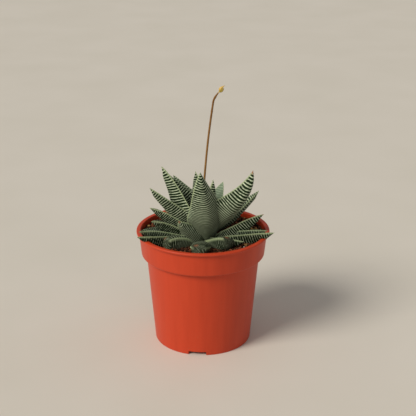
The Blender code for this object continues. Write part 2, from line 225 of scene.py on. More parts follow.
@dataclass(frozen=True)
class MouldedPolypropylene:
    """Injection-moulded polypropylene, pigmented brick red.

    The eye sees a satin, slightly waxy skin with long soft highlights, faint upright flow
    streaks from the mould, and fine dust and scuffs towards the foot and inside the lip.
    """

    name: str = "moulded_polypropylene_brick"
    body: str = "#CA4423"
    deep: str = "#C03E1E"
    dust: str = "#A9674C"
    streak: float = 7.0          # width of a flow streak, in millimetres
    streak_drawn: float = 0.06   # width of a flow streak as a share of its height
    scuff: float = 1.6           # length of a scuff, in millimetres
    scuffed: float = 0.35        # how far dust covers the plastic in a scuff at the foot
    dusty_height: float = 30.0   # height, in millimetres, above which there is least dust
    skin: float = 0.8            # size of the mould's fine texture, in millimetres
    skin_depth: float = 0.02

    def make(self) -> bpy.types.Material:
        """Build the material."""
        made, shader = finish_tree(self.name, {"IOR": 1.49, "Specular IOR Level": 0.32})
        tree = made.node_tree
        place = socket_of(tree.nodes.new("ShaderNodeTexCoord").outputs, "Object")
        height = add(tree, "ShaderNodeSeparateXYZ", {0: place}).node.outputs["Z"]
        tone = add(
            tree,
            "ShaderNodeValToRGB",
            {"Fac": grain(tree, self.streak, 4.0, self.streak_drawn)},
            stops=((0.3, self.deep), (0.7, self.body)),
        )
        specks = add(
            tree,
            "ShaderNodeMapRange",
            {"Value": grain(tree, self.scuff, 6.0), 1: 0.62, 2: 0.78, 4: self.scuffed},
        )
        low = add(
            tree,
            "ShaderNodeMapRange",
            {"Value": height, 1: 0.0, 2: self.dusty_height * MM, 3: 1.0, 4: 0.25},
        )
        dusty = add(tree, "ShaderNodeMath", {0: specks, 1: low}, operation="MULTIPLY")
        colour = add(
            tree,
            "ShaderNodeMix",
            {"Factor": dusty, "A": tone, "B": linear(self.dust)},
            data_type="RGBA",
        )
        rough = add(tree, "ShaderNodeMapRange", {"Value": grain(tree, 9.0, 5.0), 3: 0.36, 4: 0.47})
        return dress(made, shader, colour, rough, grain(tree, self.skin, 2.0), self.skin_depth)


@dataclass(frozen=True)
class Peat:
    """Peat and coir potting mix, damp below and dry on top.

    The eye sees dark brown crumbs with redder dry faces, almost no shine, and every crumb a
    little different from the next.
    """

    name: str = "peat_and_coir_mix"
    dark: str = "#1E1410"
    mid: str = "#4A2D20"
    dry: str = "#8A5A40"
    crumb: float = 1.7           # size of a crumb, in millimetres
    fibre: float = 0.35          # size of the fibres that roughen it, in millimetres
    fibre_depth: float = 0.25

    def make(self) -> bpy.types.Material:
        """Build the material."""
        made, shader = finish_tree(self.name, {"IOR": 1.4, "Specular IOR Level": 0.06})
        tree = made.node_tree
        place = socket_of(tree.nodes.new("ShaderNodeTexCoord").outputs, "Object")
        cells = add(tree, "ShaderNodeTexVoronoi", {"Vector": place, "Scale": 1 / (self.crumb * MM)})
        value = add(tree, "ShaderNodeSeparateColor", {0: cells.node.outputs["Color"]})
        mixed = add(
            tree,
            "ShaderNodeMath",
            {0: value, 1: grain(tree, 0.5, 4.0)},
            operation="MULTIPLY",
        )
        colour = add(
            tree,
            "ShaderNodeValToRGB",
            {"Fac": mixed},
            stops=((0.12, self.dark), (0.32, self.mid), (0.52, self.dry)),
        )
        rough = add(tree, "ShaderNodeMapRange", {"Value": grain(tree, 1.0), 3: 0.85, 4: 1.0})
        return dress(made, shader, colour, rough, grain(tree, self.fibre, 5.0), self.fibre_depth)


@dataclass(frozen=True)
class Grit:
    """Crushed mineral or husk in the mix: porous, chalky and broken, so it has no highlight."""

    name: str
    light: str
    dark: str
    pore: float = 0.3            # size of a pore, in millimetres
    pore_depth: float = 0.12

    def make(self) -> bpy.types.Material:
        """Build the material."""
        made, shader = finish_tree(self.name, {"IOR": 1.45, "Specular IOR Level": 0.2})
        tree = made.node_tree
        colour = add(
            tree,
            "ShaderNodeValToRGB",
            {"Fac": grain(tree, self.pore, 4.0)},
            stops=((0.35, self.dark), (0.6, self.light)),
        )
        rough = add(tree, "ShaderNodeMapRange", {"Value": grain(tree, 0.8), 3: 0.8, 4: 1.0})
        return dress(made, shader, colour, rough, grain(tree, self.pore, 5.0), self.pore_depth)


@dataclass(frozen=True)
class RidgedCuticle:
    """Waxy haworthia skin with raised cross ridges.

    The eye sees pale, chalky ridges over dark green valleys, finer and greyer low on a leaf's
    back, a pale horny margin, and a brown papery end where a tip has dried.
    The ridges are real relief; this finish colours them from the same wave that raised them.
    A low leaf's tone paints the shade of the leaves above it: darker skin, thinner ridges, a fainter
    margin.
    """

    name: str = "waxy_leaf_cuticle"
    valley: str = "#11270A"
    valley_grey: str = "#535E49"
    ridge: str = "#CBDABB"
    ridge_grey: str = "#8E9882"
    margin: str = "#B2C497"
    # Pale, smooth skin colour, partly a painted sheen on the back leaves.
    smooth: str = "#8EA38A"
    dried: str = "#9A7458"
    scar: str = "#8A5A42"
    # A ridge's colour starts and is full at these heights of the wave, which runs from -1 to 1.
    ridge_start: float = 0.05
    ridge_full: float = 0.95
    thinned: float = 0.6         # how much later the ridges start on a leaf painted darker for shade
    blotch: float = 5.0          # size of the faint blotches, in millimetres
    bloom: float = 0.45          # size of the waxy bloom's grain, in millimetres
    bloom_depth: float = 0.05

    def make(self) -> bpy.types.Material:
        """Build the material."""
        made, shader = finish_tree(self.name, {"IOR": 1.42, "Specular IOR Level": 0.12})
        tree = made.node_tree
        marks = {
            name: add(tree, "ShaderNodeAttribute", attribute_name=name).node.outputs["Fac"]
            for name in ("phase", "beads", "soften", "edge", "dry", "scar", "pale", "tone")
        }
        turned = add(tree, "ShaderNodeMath", {0: marks["phase"], 1: math.tau}, operation="MULTIPLY")
        wave = add(tree, "ShaderNodeMath", {0: turned}, operation="COSINE")
        # Painted shade: the lower a leaf's tone, the later its ridges start, so they are thinner on the
        # low leaves.
        shade = add(tree, "ShaderNodeMath", {0: 1.0, 1: marks["tone"]}, operation="SUBTRACT")
        shade = add(tree, "ShaderNodeMath", {0: shade, 1: self.thinned}, operation="MULTIPLY")
        thin = add(tree, "ShaderNodeMath", {0: wave, 1: shade}, operation="SUBTRACT")
        crest = add(
            tree,
            "ShaderNodeMapRange",
            {"Value": thin, 1: self.ridge_start, 2: self.ridge_full},
            interpolation_type="SMOOTHSTEP",
        )
        crest = add(tree, "ShaderNodeMath", {0: crest, 1: marks["beads"]}, operation="MULTIPLY")
        valley, ridge = (
            add(
                tree,
                "ShaderNodeMix",
                {"Factor": marks["soften"], "A": linear(bold), "B": linear(grey)},
                data_type="RGBA",
            )
            for bold, grey in ((self.valley, self.valley_grey), (self.ridge, self.ridge_grey))
        )
        colour = add(
            tree,
            "ShaderNodeMix",
            {"Factor": crest, "A": valley, "B": ridge},
            data_type="RGBA",
        )
        blotch = add(
            tree,
            "ShaderNodeMapRange",
            {"Value": grain(tree, self.blotch), 1: 0.3, 2: 0.7, 3: 0.82, 4: 1.12},
        )
        # Painted shade: the leaf's tone darkens its colour, most on the low leaves under the others.
        blotch = add(tree, "ShaderNodeMath", {0: blotch, 1: marks["tone"]}, operation="MULTIPLY")
        colour = add(tree, "ShaderNodeVectorMath", {0: colour, 1: blotch}, operation="MULTIPLY")
        # The pale layer is partly a painted sheen; edge, dry and scar are the skin's own colours.
        layers = {"pale": self.smooth, "edge": self.margin, "dry": self.dried, "scar": self.scar}
        for name, code in layers.items():
            colour = add(
                tree,
                "ShaderNodeMix",
                {"Factor": marks[name], "A": colour, "B": linear(code)},
                data_type="RGBA",
            )
        rough = add(tree, "ShaderNodeMapRange", {"Value": crest, 3: 0.5, 4: 0.68})
        return dress(made, shader, colour, rough, grain(tree, self.bloom, 4.0), self.bloom_depth)


@dataclass(frozen=True)
class DriedStem:
    """Dried stem or husk fibre: woody, finely furrowed along its length, with a dull sheen."""

    name: str
    low: str
    high: str
    split: tuple[float, float]   # heights, in millimetres, between which the colour changes
    furrow: float = 0.35         # width of a furrow, in millimetres
    furrow_drawn: float = 0.08   # width of a furrow as a share of its length
    furrow_depth: float = 0.12

    def make(self) -> bpy.types.Material:
        """Build the material."""
        made, shader = finish_tree(self.name, {"IOR": 1.45, "Specular IOR Level": 0.35})
        tree = made.node_tree
        place = socket_of(tree.nodes.new("ShaderNodeTexCoord").outputs, "Object")
        height = add(tree, "ShaderNodeSeparateXYZ", {0: place}).node.outputs["Z"]
        share = add(
            tree,
            "ShaderNodeMapRange",
            {"Value": height, 1: self.split[0] * MM, 2: self.split[1] * MM},
        )
        fibres = grain(tree, self.furrow, 4.0, self.furrow_drawn)
        tone = add(
            tree,
            "ShaderNodeMix",
            {"Factor": share, "A": linear(self.low), "B": linear(self.high)},
            data_type="RGBA",
        )
        shade = add(tree, "ShaderNodeMapRange", {"Value": fibres, 1: 0.3, 2: 0.7, 3: 0.65, 4: 1.3})
        colour = add(tree, "ShaderNodeVectorMath", {0: tone, 1: shade}, operation="MULTIPLY")
        rough = add(tree, "ShaderNodeMapRange", {"Value": fibres, 3: 0.5, 4: 0.75})
        return dress(made, shader, colour, rough, fibres, self.furrow_depth)


@dataclass(frozen=True)
class PaperyBract:
    """Dried flower skin: thin, creased and straw gold, olive where it is folded together."""

    name: str
    straw: str
    olive: str
    crease: float = 0.5          # width of a crease, in millimetres
    crease_depth: float = 0.15

    def make(self) -> bpy.types.Material:
        """Build the material."""
        made, shader = finish_tree(self.name, {"IOR": 1.4, "Specular IOR Level": 0.3})
        tree = made.node_tree
        colour = add(
            tree,
            "ShaderNodeValToRGB",
            {"Fac": grain(tree, self.crease * 2, 4.0)},
            stops=((0.35, self.olive), (0.58, self.straw)),
        )
        rough = add(tree, "ShaderNodeMapRange", {"Value": grain(tree, 1.0), 3: 0.6, 4: 0.85})
        return dress(made, shader, colour, rough, grain(tree, self.crease, 4.0), self.crease_depth)


@dataclass(frozen=True)
class MattePaint:
    """A plain matte studio surface with a barely seen mottle."""

    name: str = "matte_studio_floor"
    light: str = "#DFDCD3"
    dark: str = "#DBD8CE"
    mottle: float = 120.0        # size of the mottle, in millimetres
    skin: float = 2.0            # size of the paint's fine texture, in millimetres
    skin_depth: float = 0.01

    def make(self) -> bpy.types.Material:
        """Build the material."""
        made, shader = finish_tree(self.name, {"Specular IOR Level": 0.25})
        tree = made.node_tree
        colour = add(
            tree,
            "ShaderNodeValToRGB",
            {"Fac": grain(tree, self.mottle, 2.0)},
            stops=((0.3, self.dark), (0.7, self.light)),
        )
        rough = add(tree, "ShaderNodeMapRange", {"Value": grain(tree, self.mottle / 2), 3: 0.5, 4: 0.6})
        return dress(made, shader, colour, rough, grain(tree, self.skin), self.skin_depth)


# ---------------------------------------------------------------------------------------------
# Meshes


def plain_object(name: str, mesh: bpy.types.Mesh) -> bpy.types.Object:
    """Link a mesh into the scene as an object at the origin."""
    made = bpy.data.objects.new(name, mesh)
    bpy.context.scene.collection.objects.link(made)
    return made


def loft(
    name: str,
    rings: np.ndarray,
    marks: Optional[Mapping[str, np.ndarray]] = None,
) -> bpy.types.Mesh:
    """Join rings of points into a closed skin that faces outwards.

    Args:
        name: the mesh's name.
        rings: points in millimetres, ring by ring, as an array of (rings, points, 3).
        marks: named numbers to keep at each point, each an array of (rings, points).

    Returns:
        The mesh, with a point in the middle of each end cap.
    """
    count, around, _ = rings.shape
    ends = np.stack([rings[0].mean(0), rings[-1].mean(0)])
    points = np.concatenate([rings.reshape(-1, 3), ends]) * MM
    step = np.arange(around)
    after = (step + 1) % around
    lower = np.arange(count - 1)[:, None] * around
    quads = np.stack(
        [lower + step, lower + after, lower + around + after, lower + around + step],
        axis=2,
    ).reshape(-1, 4)
    first = count * around
    top = (count - 1) * around
    fan = np.concatenate([
        np.stack([np.full(around, first), after, step], axis=1),
        np.stack([np.full(around, first + 1), top + step, top + after], axis=1),
    ])
    a, b, c, d = (points[quads[:, i]] for i in range(4))
    volume = (a * np.cross(b, c)).sum() + (a * np.cross(c, d)).sum()
    e, f, g = (points[fan[:, i]] for i in range(3))
    volume += (e * np.cross(f, g)).sum()
    if volume < 0:
        quads = quads[:, ::-1]
        fan = fan[:, ::-1]
    mesh = bpy.data.meshes.new(name)
    mesh.from_pydata(points.tolist(), [], quads.tolist() + fan.tolist())
    mesh.polygons.foreach_set("use_smooth", np.ones(len(mesh.polygons), dtype=bool))
    for label, values in (marks or {}).items():
        full = np.concatenate([values.reshape(-1), [values[0].mean(), values[-1].mean()]])
        layer = mesh.attributes.new(label, "FLOAT", "POINT")
        layer.data.foreach_set("value", full.astype(np.float32))
    mesh.update()
    return mesh


def rounded(points: Sequence[tuple[float, float, float]], steps: int = 5) -> np.ndarray:
    """Round the corners of a flat path.

    Args:
        points: (radius, height, corner radius) of each corner, in millimetres.
        steps: how many pieces each rounded corner has.

    Returns:
        The finer path, as (radius, height) rows.
    """
    path = np.array(points, float)
    made = [path[0, :2]]
    for before, here, after in zip(path, path[1:], path[2:]):
        size = here[2]
        if size <= 0:
            made.append(here[:2])
            continue
        back = before[:2] - here[:2]
        ahead = after[:2] - here[:2]
        reach = min(size, 0.45 * np.linalg.norm(back), 0.45 * np.linalg.norm(ahead))
        start = here[:2] + back / np.linalg.norm(back) * reach
        end = here[:2] + ahead / np.linalg.norm(ahead) * reach
        for share in np.linspace(0, 1, steps):
            made.append(start * (1 - share) ** 2 + here[:2] * 2 * share * (1 - share) + end * share ** 2)
    made.append(path[-1, :2])
    return np.array(made)


def refined(path: np.ndarray, longest: float) -> np.ndarray:
    """Split the long stretches of a path so that none is longer than a given length."""
    made = [path[0]]
    for before, after in zip(path, path[1:]):
        pieces = max(1, math.ceil(np.linalg.norm(after - before) / longest))
        for share in range(1, pieces + 1):
            made.append(before + (after - before) * share / pieces)
    return np.array(made)


def even_turns(count: int) -> np.ndarray:
    """Return a number of angles spread evenly round a circle."""
    return np.linspace(0, math.tau, count, endpoint=False)


def round_axis(radius: np.ndarray, height: np.ndarray, angles: np.ndarray) -> np.ndarray:
    """Return points round the z axis, at a distance from it and a height, for each angle."""
    around = np.broadcast_to(radius * np.cos(angles), height.shape)
    across = np.broadcast_to(radius * np.sin(angles), height.shape)
    return np.stack([around, across, height], axis=-1)


def tube(
    point: np.ndarray,
    side_reach: np.ndarray,
    up_reach: np.ndarray,
) -> np.ndarray:
    """Return rings of points round a path, square to it.

    Args:
        point: points along the path.
        side_reach: how far each point of each ring lies sideways, as (rings, points).
        up_reach: how far it lies on the other axis of the ring.

    Returns:
        The rings, as (rings, points, 3).
    """
    along = np.gradient(point, axis=0)
    along /= np.linalg.norm(along, axis=1, keepdims=True)
    side = np.cross(along, np.array([0.0, 1.0, 0.0]))
    side /= np.linalg.norm(side, axis=1, keepdims=True)
    up = np.cross(side, along)
    return (
        point[:, None, :]
        + side[:, None, :] * side_reach[:, :, None]
        + up[:, None, :] * up_reach[:, :, None]
    )


def smooth_step(value: np.ndarray, low: float, high: float) -> np.ndarray:
    """Rise smoothly from 0 at low to 1 at high."""
    share = np.clip((value - low) / (high - low), 0.0, 1.0)
    return share * share * (3 - 2 * share)


def geometry_tree(
    name: str,
    inputs: Mapping[str, str],
) -> tuple[bpy.types.NodeTree, bpy.types.Node, bpy.types.Node]:
    """Start a Geometry Nodes tree with named inputs.

    Args:
        name: the tree's name.
        inputs: the kind of socket for each named input, such as "Float" or "Material".

    Returns:
        The tree, its input node and its output node.
    """
    tree = bpy.data.node_groups.new(name, "GeometryNodeTree")
    tree.interface.new_socket(name="Geometry", in_out="INPUT", socket_type="NodeSocketGeometry")
    for label, kind in inputs.items():
        tree.interface.new_socket(name=label, in_out="INPUT", socket_type=f"NodeSocket{kind}")
    tree.interface.new_socket(name="Geometry", in_out="OUTPUT", socket_type="NodeSocketGeometry")
    return tree, tree.nodes.new("NodeGroupInput"), tree.nodes.new("NodeGroupOutput")


def run_tree(
    piece: bpy.types.Object,
    tree: bpy.types.NodeTree,
    values: Mapping[str, object],
) -> bpy.types.Object:
    """Run a Geometry Nodes tree on a piece and keep the result as its plain mesh.

    Args:
        piece: the object that the tree starts from.
        tree: the tree.
        values: a value for each of the tree's named inputs.

    Returns:
        The same object, with no modifier left on it.
    """
    step = piece.modifiers.new(tree.name, "NODES")
    step.node_group = tree
    for item in tree.interface.items_tree:
        if item.item_type == "SOCKET" and item.in_out == "INPUT" and item.name in values:
            step[item.identifier] = values[item.name]
    graph = bpy.context.evaluated_depsgraph_get()
    mesh = bpy.data.meshes.new_from_object(piece.evaluated_get(graph), depsgraph=graph)
    piece.modifiers.clear()
    old = piece.data
    piece.data = mesh
    bpy.data.meshes.remove(old)
    mesh.name = piece.name
    return piece


def close_tree(
    tree: bpy.types.NodeTree,
    result: bpy.types.NodeSocket,
    finish: bpy.types.NodeSocket,
    outcome: bpy.types.Node,
) -> None:
    """End a Geometry Nodes tree in Realize Instances and Set Material.

    Args:
        tree: the tree.
        result: the geometry so far.
        finish: the material socket.
        outcome: the tree's output node.
    """
    real = add(tree, "GeometryNodeRealizeInstances", {0: result})
    done = add(tree, "GeometryNodeSetMaterial", {"Geometry": real, "Material": finish})
    tree.links.new(done, outcome.inputs[0])


def misshape(
    tree: bpy.types.NodeTree,
    shape: bpy.types.NodeSocket,
    noise: Mapping[str, float],
    centre: tuple[float, float, float],
    amount: object,
) -> bpy.types.NodeSocket:
    """Push a shape's points about with noise, so that each copy of it looks different.

    Args:
        tree: the tree.
        shape: the geometry.
        noise: the noise's inputs, by name.
        centre: the noise's colour that leaves a point where it is.
        amount: how far the points go, as a number or a socket.

    Returns:
        The changed geometry.
    """
    push = add(tree, "ShaderNodeTexNoise", noise, noise_dimensions="4D").node.outputs["Color"]
    push = add(tree, "ShaderNodeVectorMath", {0: push, 1: centre}, operation="SUBTRACT")
    push = add(tree, "ShaderNodeVectorMath", {0: push, "Scale": amount}, operation="SCALE")
    return add(tree, "GeometryNodeSetPosition", {"Geometry": shape, "Offset": push})


def strew(
    tree: bpy.types.NodeTree,
    points: bpy.types.NodeSocket,
    shapes: Sequence[bpy.types.NodeSocket],
    spin: bpy.types.NodeSocket,
    size: bpy.types.NodeSocket,
) -> bpy.types.NodeSocket:
    """Set one of several shapes, picked at random, on each point.

    Args:
        tree: the tree.
        points: the points.
        shapes: the shapes to pick from.
        spin: how a shape is turned.
        size: how large it is.

    Returns:
        The instances.
    """
    heap = tree.nodes.new("GeometryNodeJoinGeometry")
    for shape in shapes:
        tree.links.new(add(tree, "GeometryNodeGeometryToInstance", {0: shape}), heap.inputs[0])
    return add(
        tree,
        "GeometryNodeInstanceOnPoints",
        {
            "Points": points,
            "Instance": heap.outputs[0],
            "Pick Instance": True,
            "Rotation": spin,
            "Scale": size,
        },
    )


def place_piece(piece: bpy.types.Object, slot: Slot, *nodes: str) -> bpy.types.Object:
    """Ride a finished piece on the plant's body, in place of its CAD nodes.

    Args:
        piece: the finished object.
        slot: the slot that its finish belongs to; not used.
        nodes: the CAD nodes that it stands for.

    Returns:
        The piece.
    """
    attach(piece, BODY)
    if nodes:
        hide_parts(*nodes)
    LOG.info("%s: %d faces", piece.name, len(piece.data.polygons))
    return piece


# ---------------------------------------------------------------------------------------------
# Pot


@dataclass
class Pot:
    """The round nursery pot: tapered wall, stepped collar, rolled lip, notched foot."""

    height: float = 92.0
    lip_radius: float = 52.5
    lip_depth: float = 1.9
    collar_top: float = 50.4
    collar_bottom: float = 48.7
    collar_height: float = 72.5
    step: float = 1.4
    wall_top: float = 44.7
    foot: float = 38.4
    wall: float = 1.3
    foot_wall: float = 1.8
    floor_lift: float = 3.2
    floor: float = 1.3
    boss: float = 11.0
    boss_slope: float = 3.0
    notch_width: float = 14.0
    notch_height: float = 3.0
    notch_count: int = 3
    notch_turn: float = -96.5
    drain_radius: float = 4.0
    drain_circle: float = 25.0
    drain_count: int = 4
    hub: float = 0.5             # radius left for the point that closes the floor's middle
    longest: float = 2.5         # longest stretch of the section between two rings
    crease: float = 50.0         # edges sharper than this angle, in degrees, stay crisp
    steps: int = 240

    def radius_at(self, height: float) -> float:
        """Return the outer radius of the tapered wall at a height."""
        share = height / (self.collar_height - self.step)
        return self.foot + (self.wall_top - self.foot) * share

    def profile(self) -> np.ndarray:
        """Return the section from the floor's middle over the lip to the underside."""
        lip_low = self.height - self.lip_depth
        floor_top = self.floor_lift + self.floor
        inner = self.collar_top - self.wall
        # Each corner is (radius, height, how far it is rounded).
        corners = [
            (self.hub, self.floor, 0),
            (self.boss, self.floor, 1.0),
            (self.boss + self.boss_slope, floor_top, 1.0),
            (self.radius_at(floor_top) - self.foot_wall, floor_top, 1.5),
            (self.wall_top - self.wall, self.collar_height - self.step + self.wall, 1.0),
            (self.collar_bottom - self.wall, self.collar_height + self.wall, 1.0),
            (inner, self.height, 0.7),
            (self.lip_radius, self.height, 0.8),
            (self.lip_radius, lip_low, 0.7),
            (self.collar_top + 0.1, lip_low, 0.3),
            (self.collar_bottom, self.collar_height, 0.9),
            (self.wall_top, self.collar_height - self.step, 0.7),
            (self.foot, 0.0, 0.5),
            (self.foot - self.foot_wall, 0.0, 0.5),
            (self.foot - self.foot_wall, self.floor_lift, 0.5),
            (self.boss + self.boss_slope, self.floor_lift, 0.6),
            (self.boss, 0.0, 0.6),
            (self.hub, 0.0, 0),
        ]
        return refined(rounded(corners), self.longest)

    def notches(self) -> tuple[list[float], float]:
        """Return the angles of the notches' middles, and half the angle that each one spans."""
        first = math.radians(self.notch_turn)
        middles = [first + math.tau * index / self.notch_count for index in range(self.notch_count)]
        return middles, math.asin(self.notch_width / 2 / self.foot)

    def turns(self) -> np.ndarray:
        """Return the angles of the columns, with a close pair at each side of a notch."""
        pair = 0.002
        room = 3 * pair
        middles, half = self.notches()
        edges = [middle + side * half for middle in middles for side in (-1, 1)]
        extra = np.array([edge + away for edge in edges for away in (-pair, pair)]) % math.tau
        clear = [angle for angle in even_turns(self.steps) if np.abs(extra - angle).min() > room]
        return np.sort(np.concatenate([clear, extra]))

    def in_notch(self, angles: np.ndarray) -> np.ndarray:
        """Say which angles lie inside a notch."""
        middles, half = self.notches()
        inside = np.zeros(len(angles), dtype=bool)
        for middle in middles:
            away = (angles - middle + math.pi) % math.tau - math.pi
            inside |= np.abs(away) < half
        return inside

    def build(self, finish: bpy.types.Material) -> bpy.types.Object:
        """Turn the section, lift the notches and cut the drain holes."""
        profile = self.profile()
        angles = self.turns()
        radius = profile[:, 0][:, None]
        height = np.repeat(profile[:, 1][:, None], len(angles), axis=1)
        reach = 0.3              # how far inside the foot ring a notch starts
        foot = (radius > self.foot - self.foot_wall - reach) & (height < self.notch_height)
        height = np.where(foot & self.in_notch(angles)[None, :], self.notch_height, height)
        piece = plain_object("pot_shell", loft("pot_shell", round_axis(radius, height, angles)))
        drains = self.drains()
        cut = piece.modifiers.new("drains", "BOOLEAN")
        cut.operation = "DIFFERENCE"
        cut.solver = "EXACT"
        cut.object = drains
        graph = bpy.context.evaluated_depsgraph_get()
        mesh = bpy.data.meshes.new_from_object(piece.evaluated_get(graph), depsgraph=graph)
        piece.modifiers.clear()
        piece.data = mesh
        bpy.data.objects.remove(drains, do_unlink=True)
        mesh.materials.clear()
        mesh.materials.append(finish)
        mesh.set_sharp_from_angle(angle=math.radians(self.crease))
        return place_piece(piece, Slot.POT, "pot")

    def drains(self) -> bpy.types.Object:
        """Return the drain holes' cutters as one object."""
        points = []
        faces = []
        sides = 40
        clear = 2.0              # how far a cutter stands out above and below the floor
        for index in range(self.drain_count):
            turn = math.radians(self.notch_turn) + math.tau * (index + 0.5) / self.drain_count
            middle = self.drain_circle * np.array([math.cos(turn), math.sin(turn), 0.0])
            base = len(points)
            for height in (self.floor_lift - clear, self.floor_lift + self.floor + clear):
                ring = round_axis(self.drain_radius, np.full(sides, height), even_turns(sides))
                points += ((middle + ring) * MM).tolist()
            faces.append([base + i for i in reversed(range(sides))])
            faces.append([base + sides + i for i in range(sides)])
            for i in range(sides):
                j = (i + 1) % sides
                faces.append([base + i, base + j, base + sides + j, base + sides + i])
        mesh = bpy.data.meshes.new("drain_cutters")
        mesh.from_pydata(points, [], faces)
        return plain_object("drain_cutters", mesh)


# ---------------------------------------------------------------------------------------------
# Soil


@dataclass(frozen=True)
class Crumbs:
    """One kind of loose bit that lies on the soil."""

    name: str
    density: float               # how many lie on a square metre
    smallest: float              # sizes in millimetres
    largest: float
    lift: float                  # how far a bit's middle lies above the soil, as a share of its size
    seed: int
    finish: bpy.types.Material


@dataclass
class Soil:
    """The potting mix: a shallow dish of crumbs, with coir threads and grit on top.

    Sizes are in millimetres.
    """

    radius: float = 48.6
    edge: float = 88.0           # height at the pot's wall
    dip: float = 84.5            # height in the middle
    dip_radius: float = 14.0
    rounding: float = 0.15       # how much of the rise from the dip to the edge comes early
    settled: float = 3.0         # how far the mix has sunk at the front
    settled_turn: float = -114.0
    lumps: float = 0.35          # usual height of a lump
    hub: float = 0.4             # radius left for the point that closes the middle
    flank: tuple[tuple[float, float], ...] = ((48.6, 82.0), (46.8, 75.0), (43.2, 70.0))
    rows: int = 62
    steps: int = 200
    crumb_margin: float = 0.6    # how far crumbs keep from the edge
    thread_margin: float = 8.5   # how far the threads' middles keep from the edge
    thread_length: float = 8.0
    thread_thickness: float = 0.09
    thread_curl: float = 5.0
    thread_density: float = 0.6e5

    def height_at(self, radius: float, angles: np.ndarray) -> np.ndarray:
        """Return the height of the soil's surface at a distance from the axis, all round."""
        run = np.clip((radius - self.dip_radius) / (self.radius - self.dip_radius), 0, 1)
        rise = run * (1 - self.rounding) + self.rounding * np.sqrt(run)
        level = self.dip + (self.edge - self.dip) * rise
        facing = 0.5 + 0.5 * np.cos(angles - math.radians(self.settled_turn))
        return level - self.settled * run * facing ** 3

    def dish(self) -> bpy.types.Mesh:
        """Return the plug of soil as a closed skin with a lumpy top."""
        chance = np.random.default_rng(11)
        angles = even_turns(self.steps)
        calm = 4.0               # radius inside which the lumps die down
        rings = []
        for radius in np.linspace(self.hub, self.radius, self.rows):
            lumps = chance.normal(0, self.lumps, self.steps) * min(1, radius / calm)
            rings.append(round_axis(radius, self.height_at(radius, angles) + lumps, angles))
        for radius, height in self.flank:
            rings.append(round_axis(radius, np.full(self.steps, height), angles))
        return loft("soil_bed", np.array(rings))

    def seed_bed(self, name: str, inner: float, outer: float) -> bpy.types.Object:
        """Return a ring of the surface, between two radii, to scatter crumbs or threads on."""
        angles = even_turns(96)
        radii = np.linspace(inner, outer, 24)
        rings = np.array([round_axis(radius, self.height_at(radius, angles), angles) for radius in radii])
        count = len(angles)
        faces = []
        for base in range(0, (len(radii) - 1) * count, count):
            for i in range(count):
                j = (i + 1) % count
                faces.append((base + i, base + count + i, base + count + j, base + j))
        mesh = bpy.data.meshes.new(name)
        mesh.from_pydata((rings.reshape(-1, 3) * MM).tolist(), [], faces)
        return plain_object(name, mesh)

    def crumb_tree(self) -> bpy.types.NodeTree:
        """Build the tree that scatters broken lumps over a surface."""
        tree, start, outcome = geometry_tree(
            "scattered_crumbs",
            {
                "Per Area": "Float",
                "Smallest": "Float",
                "Largest": "Float",
                "Lift": "Float",
                "Seed": "Int",
                "Finish": "Material",
            },
        )
        given = {item.name: item for item in start.outputs}
        points = add(
            tree,
            "GeometryNodeDistributePointsOnFaces",
            {"Mesh": given["Geometry"], "Density": given["Per Area"], "Seed": given["Seed"]},
        )
        shapes = []
        for index in range(5):
            ball = add(tree, "GeometryNodeMeshIcoSphere", {"Radius": 0.5, "Subdivisions": 1 + index % 2})
            lump = misshape(
                tree,
                ball,
                {"W": 3.7 * index + 1.0, "Scale": 2.3, "Detail": 1.0},
                (0.5, 0.5, 0.5),
                1.5,
            )
            flatness = (1.0, 0.7 + 0.1 * index, 0.5 + 0.08 * index)
            shapes.append(add(tree, "GeometryNodeTransform", {"Geometry": lump, "Scale": flatness}))
        size = add(
            tree,
            "FunctionNodeRandomValue",
            {"Min": given["Smallest"], "Max": given["Largest"], "Seed": given["Seed"]},
            data_type="FLOAT",
        )
        spin = add(
            tree,
            "FunctionNodeRandomValue",
            {"Min": (0.0, 0.0, 0.0), "Max": (math.tau, math.tau, math.tau), "Seed": 5},
            data_type="FLOAT_VECTOR",
        )
        height = add(tree, "ShaderNodeMath", {0: size, 1: given["Lift"]}, operation="MULTIPLY")
        raised = add(
            tree,
            "GeometryNodeSetPosition",
            {"Geometry": points, "Offset": add(tree, "ShaderNodeCombineXYZ", {"Z": height})},
        )
        close_tree(tree, strew(tree, raised, shapes, spin, size), given["Finish"], outcome)
        return tree

    def thread_tree(self) -> bpy.types.NodeTree:
        """Build the tree that lays fine curled threads over a surface."""
        tree, start, outcome = geometry_tree(
            "coir_threads",
            {
                "Per Area": "Float",
                "Length": "Float",
                "Thickness": "Float",
                "Curl": "Float",
                "Seed": "Int",
                "Finish": "Material",
            },
        )
        given = {item.name: item for item in start.outputs}
        points = add(
            tree,
            "GeometryNodeDistributePointsOnFaces",
            {"Mesh": given["Geometry"], "Density": given["Per Area"], "Seed": given["Seed"]},
        )
        round_wire = add(
            tree,
            "GeometryNodeCurvePrimitiveCircle",
            {"Resolution": 4, "Radius": given["Thickness"]},
        )
        strands = []
        for index in range(4):
            end = add(tree, "ShaderNodeCombineXYZ", {"X": given["Length"]})
            line = add(tree, "GeometryNodeCurvePrimitiveLine", {"End": end})
            curled = misshape(
                tree,
                add(tree, "GeometryNodeResampleCurve", {"Curve": line, "Count": 8}),
                {"W": 5.1 * index + 2.0, "Scale": 260.0, "Detail": 0.0},
                (0.5, 0.5, 0.42),
                given["Curl"],
            )
            wire = {"Curve": curled, "Profile Curve": round_wire, "Fill Caps": True}
            strands.append(add(tree, "GeometryNodeCurveToMesh", wire))
        spin = add(
            tree,
            "FunctionNodeRandomValue",
            {"Min": (-0.35, -0.5, 0.0), "Max": (0.35, 0.1, math.tau), "Seed": given["Seed"]},
            data_type="FLOAT_VECTOR",
        )
        size = add(
            tree,
            "FunctionNodeRandomValue",
            {"Min": 0.4, "Max": 1.0, "Seed": 9},
            data_type="FLOAT",
        )
        close_tree(tree, strew(tree, points, strands, spin, size), given["Finish"], outcome)
        return tree

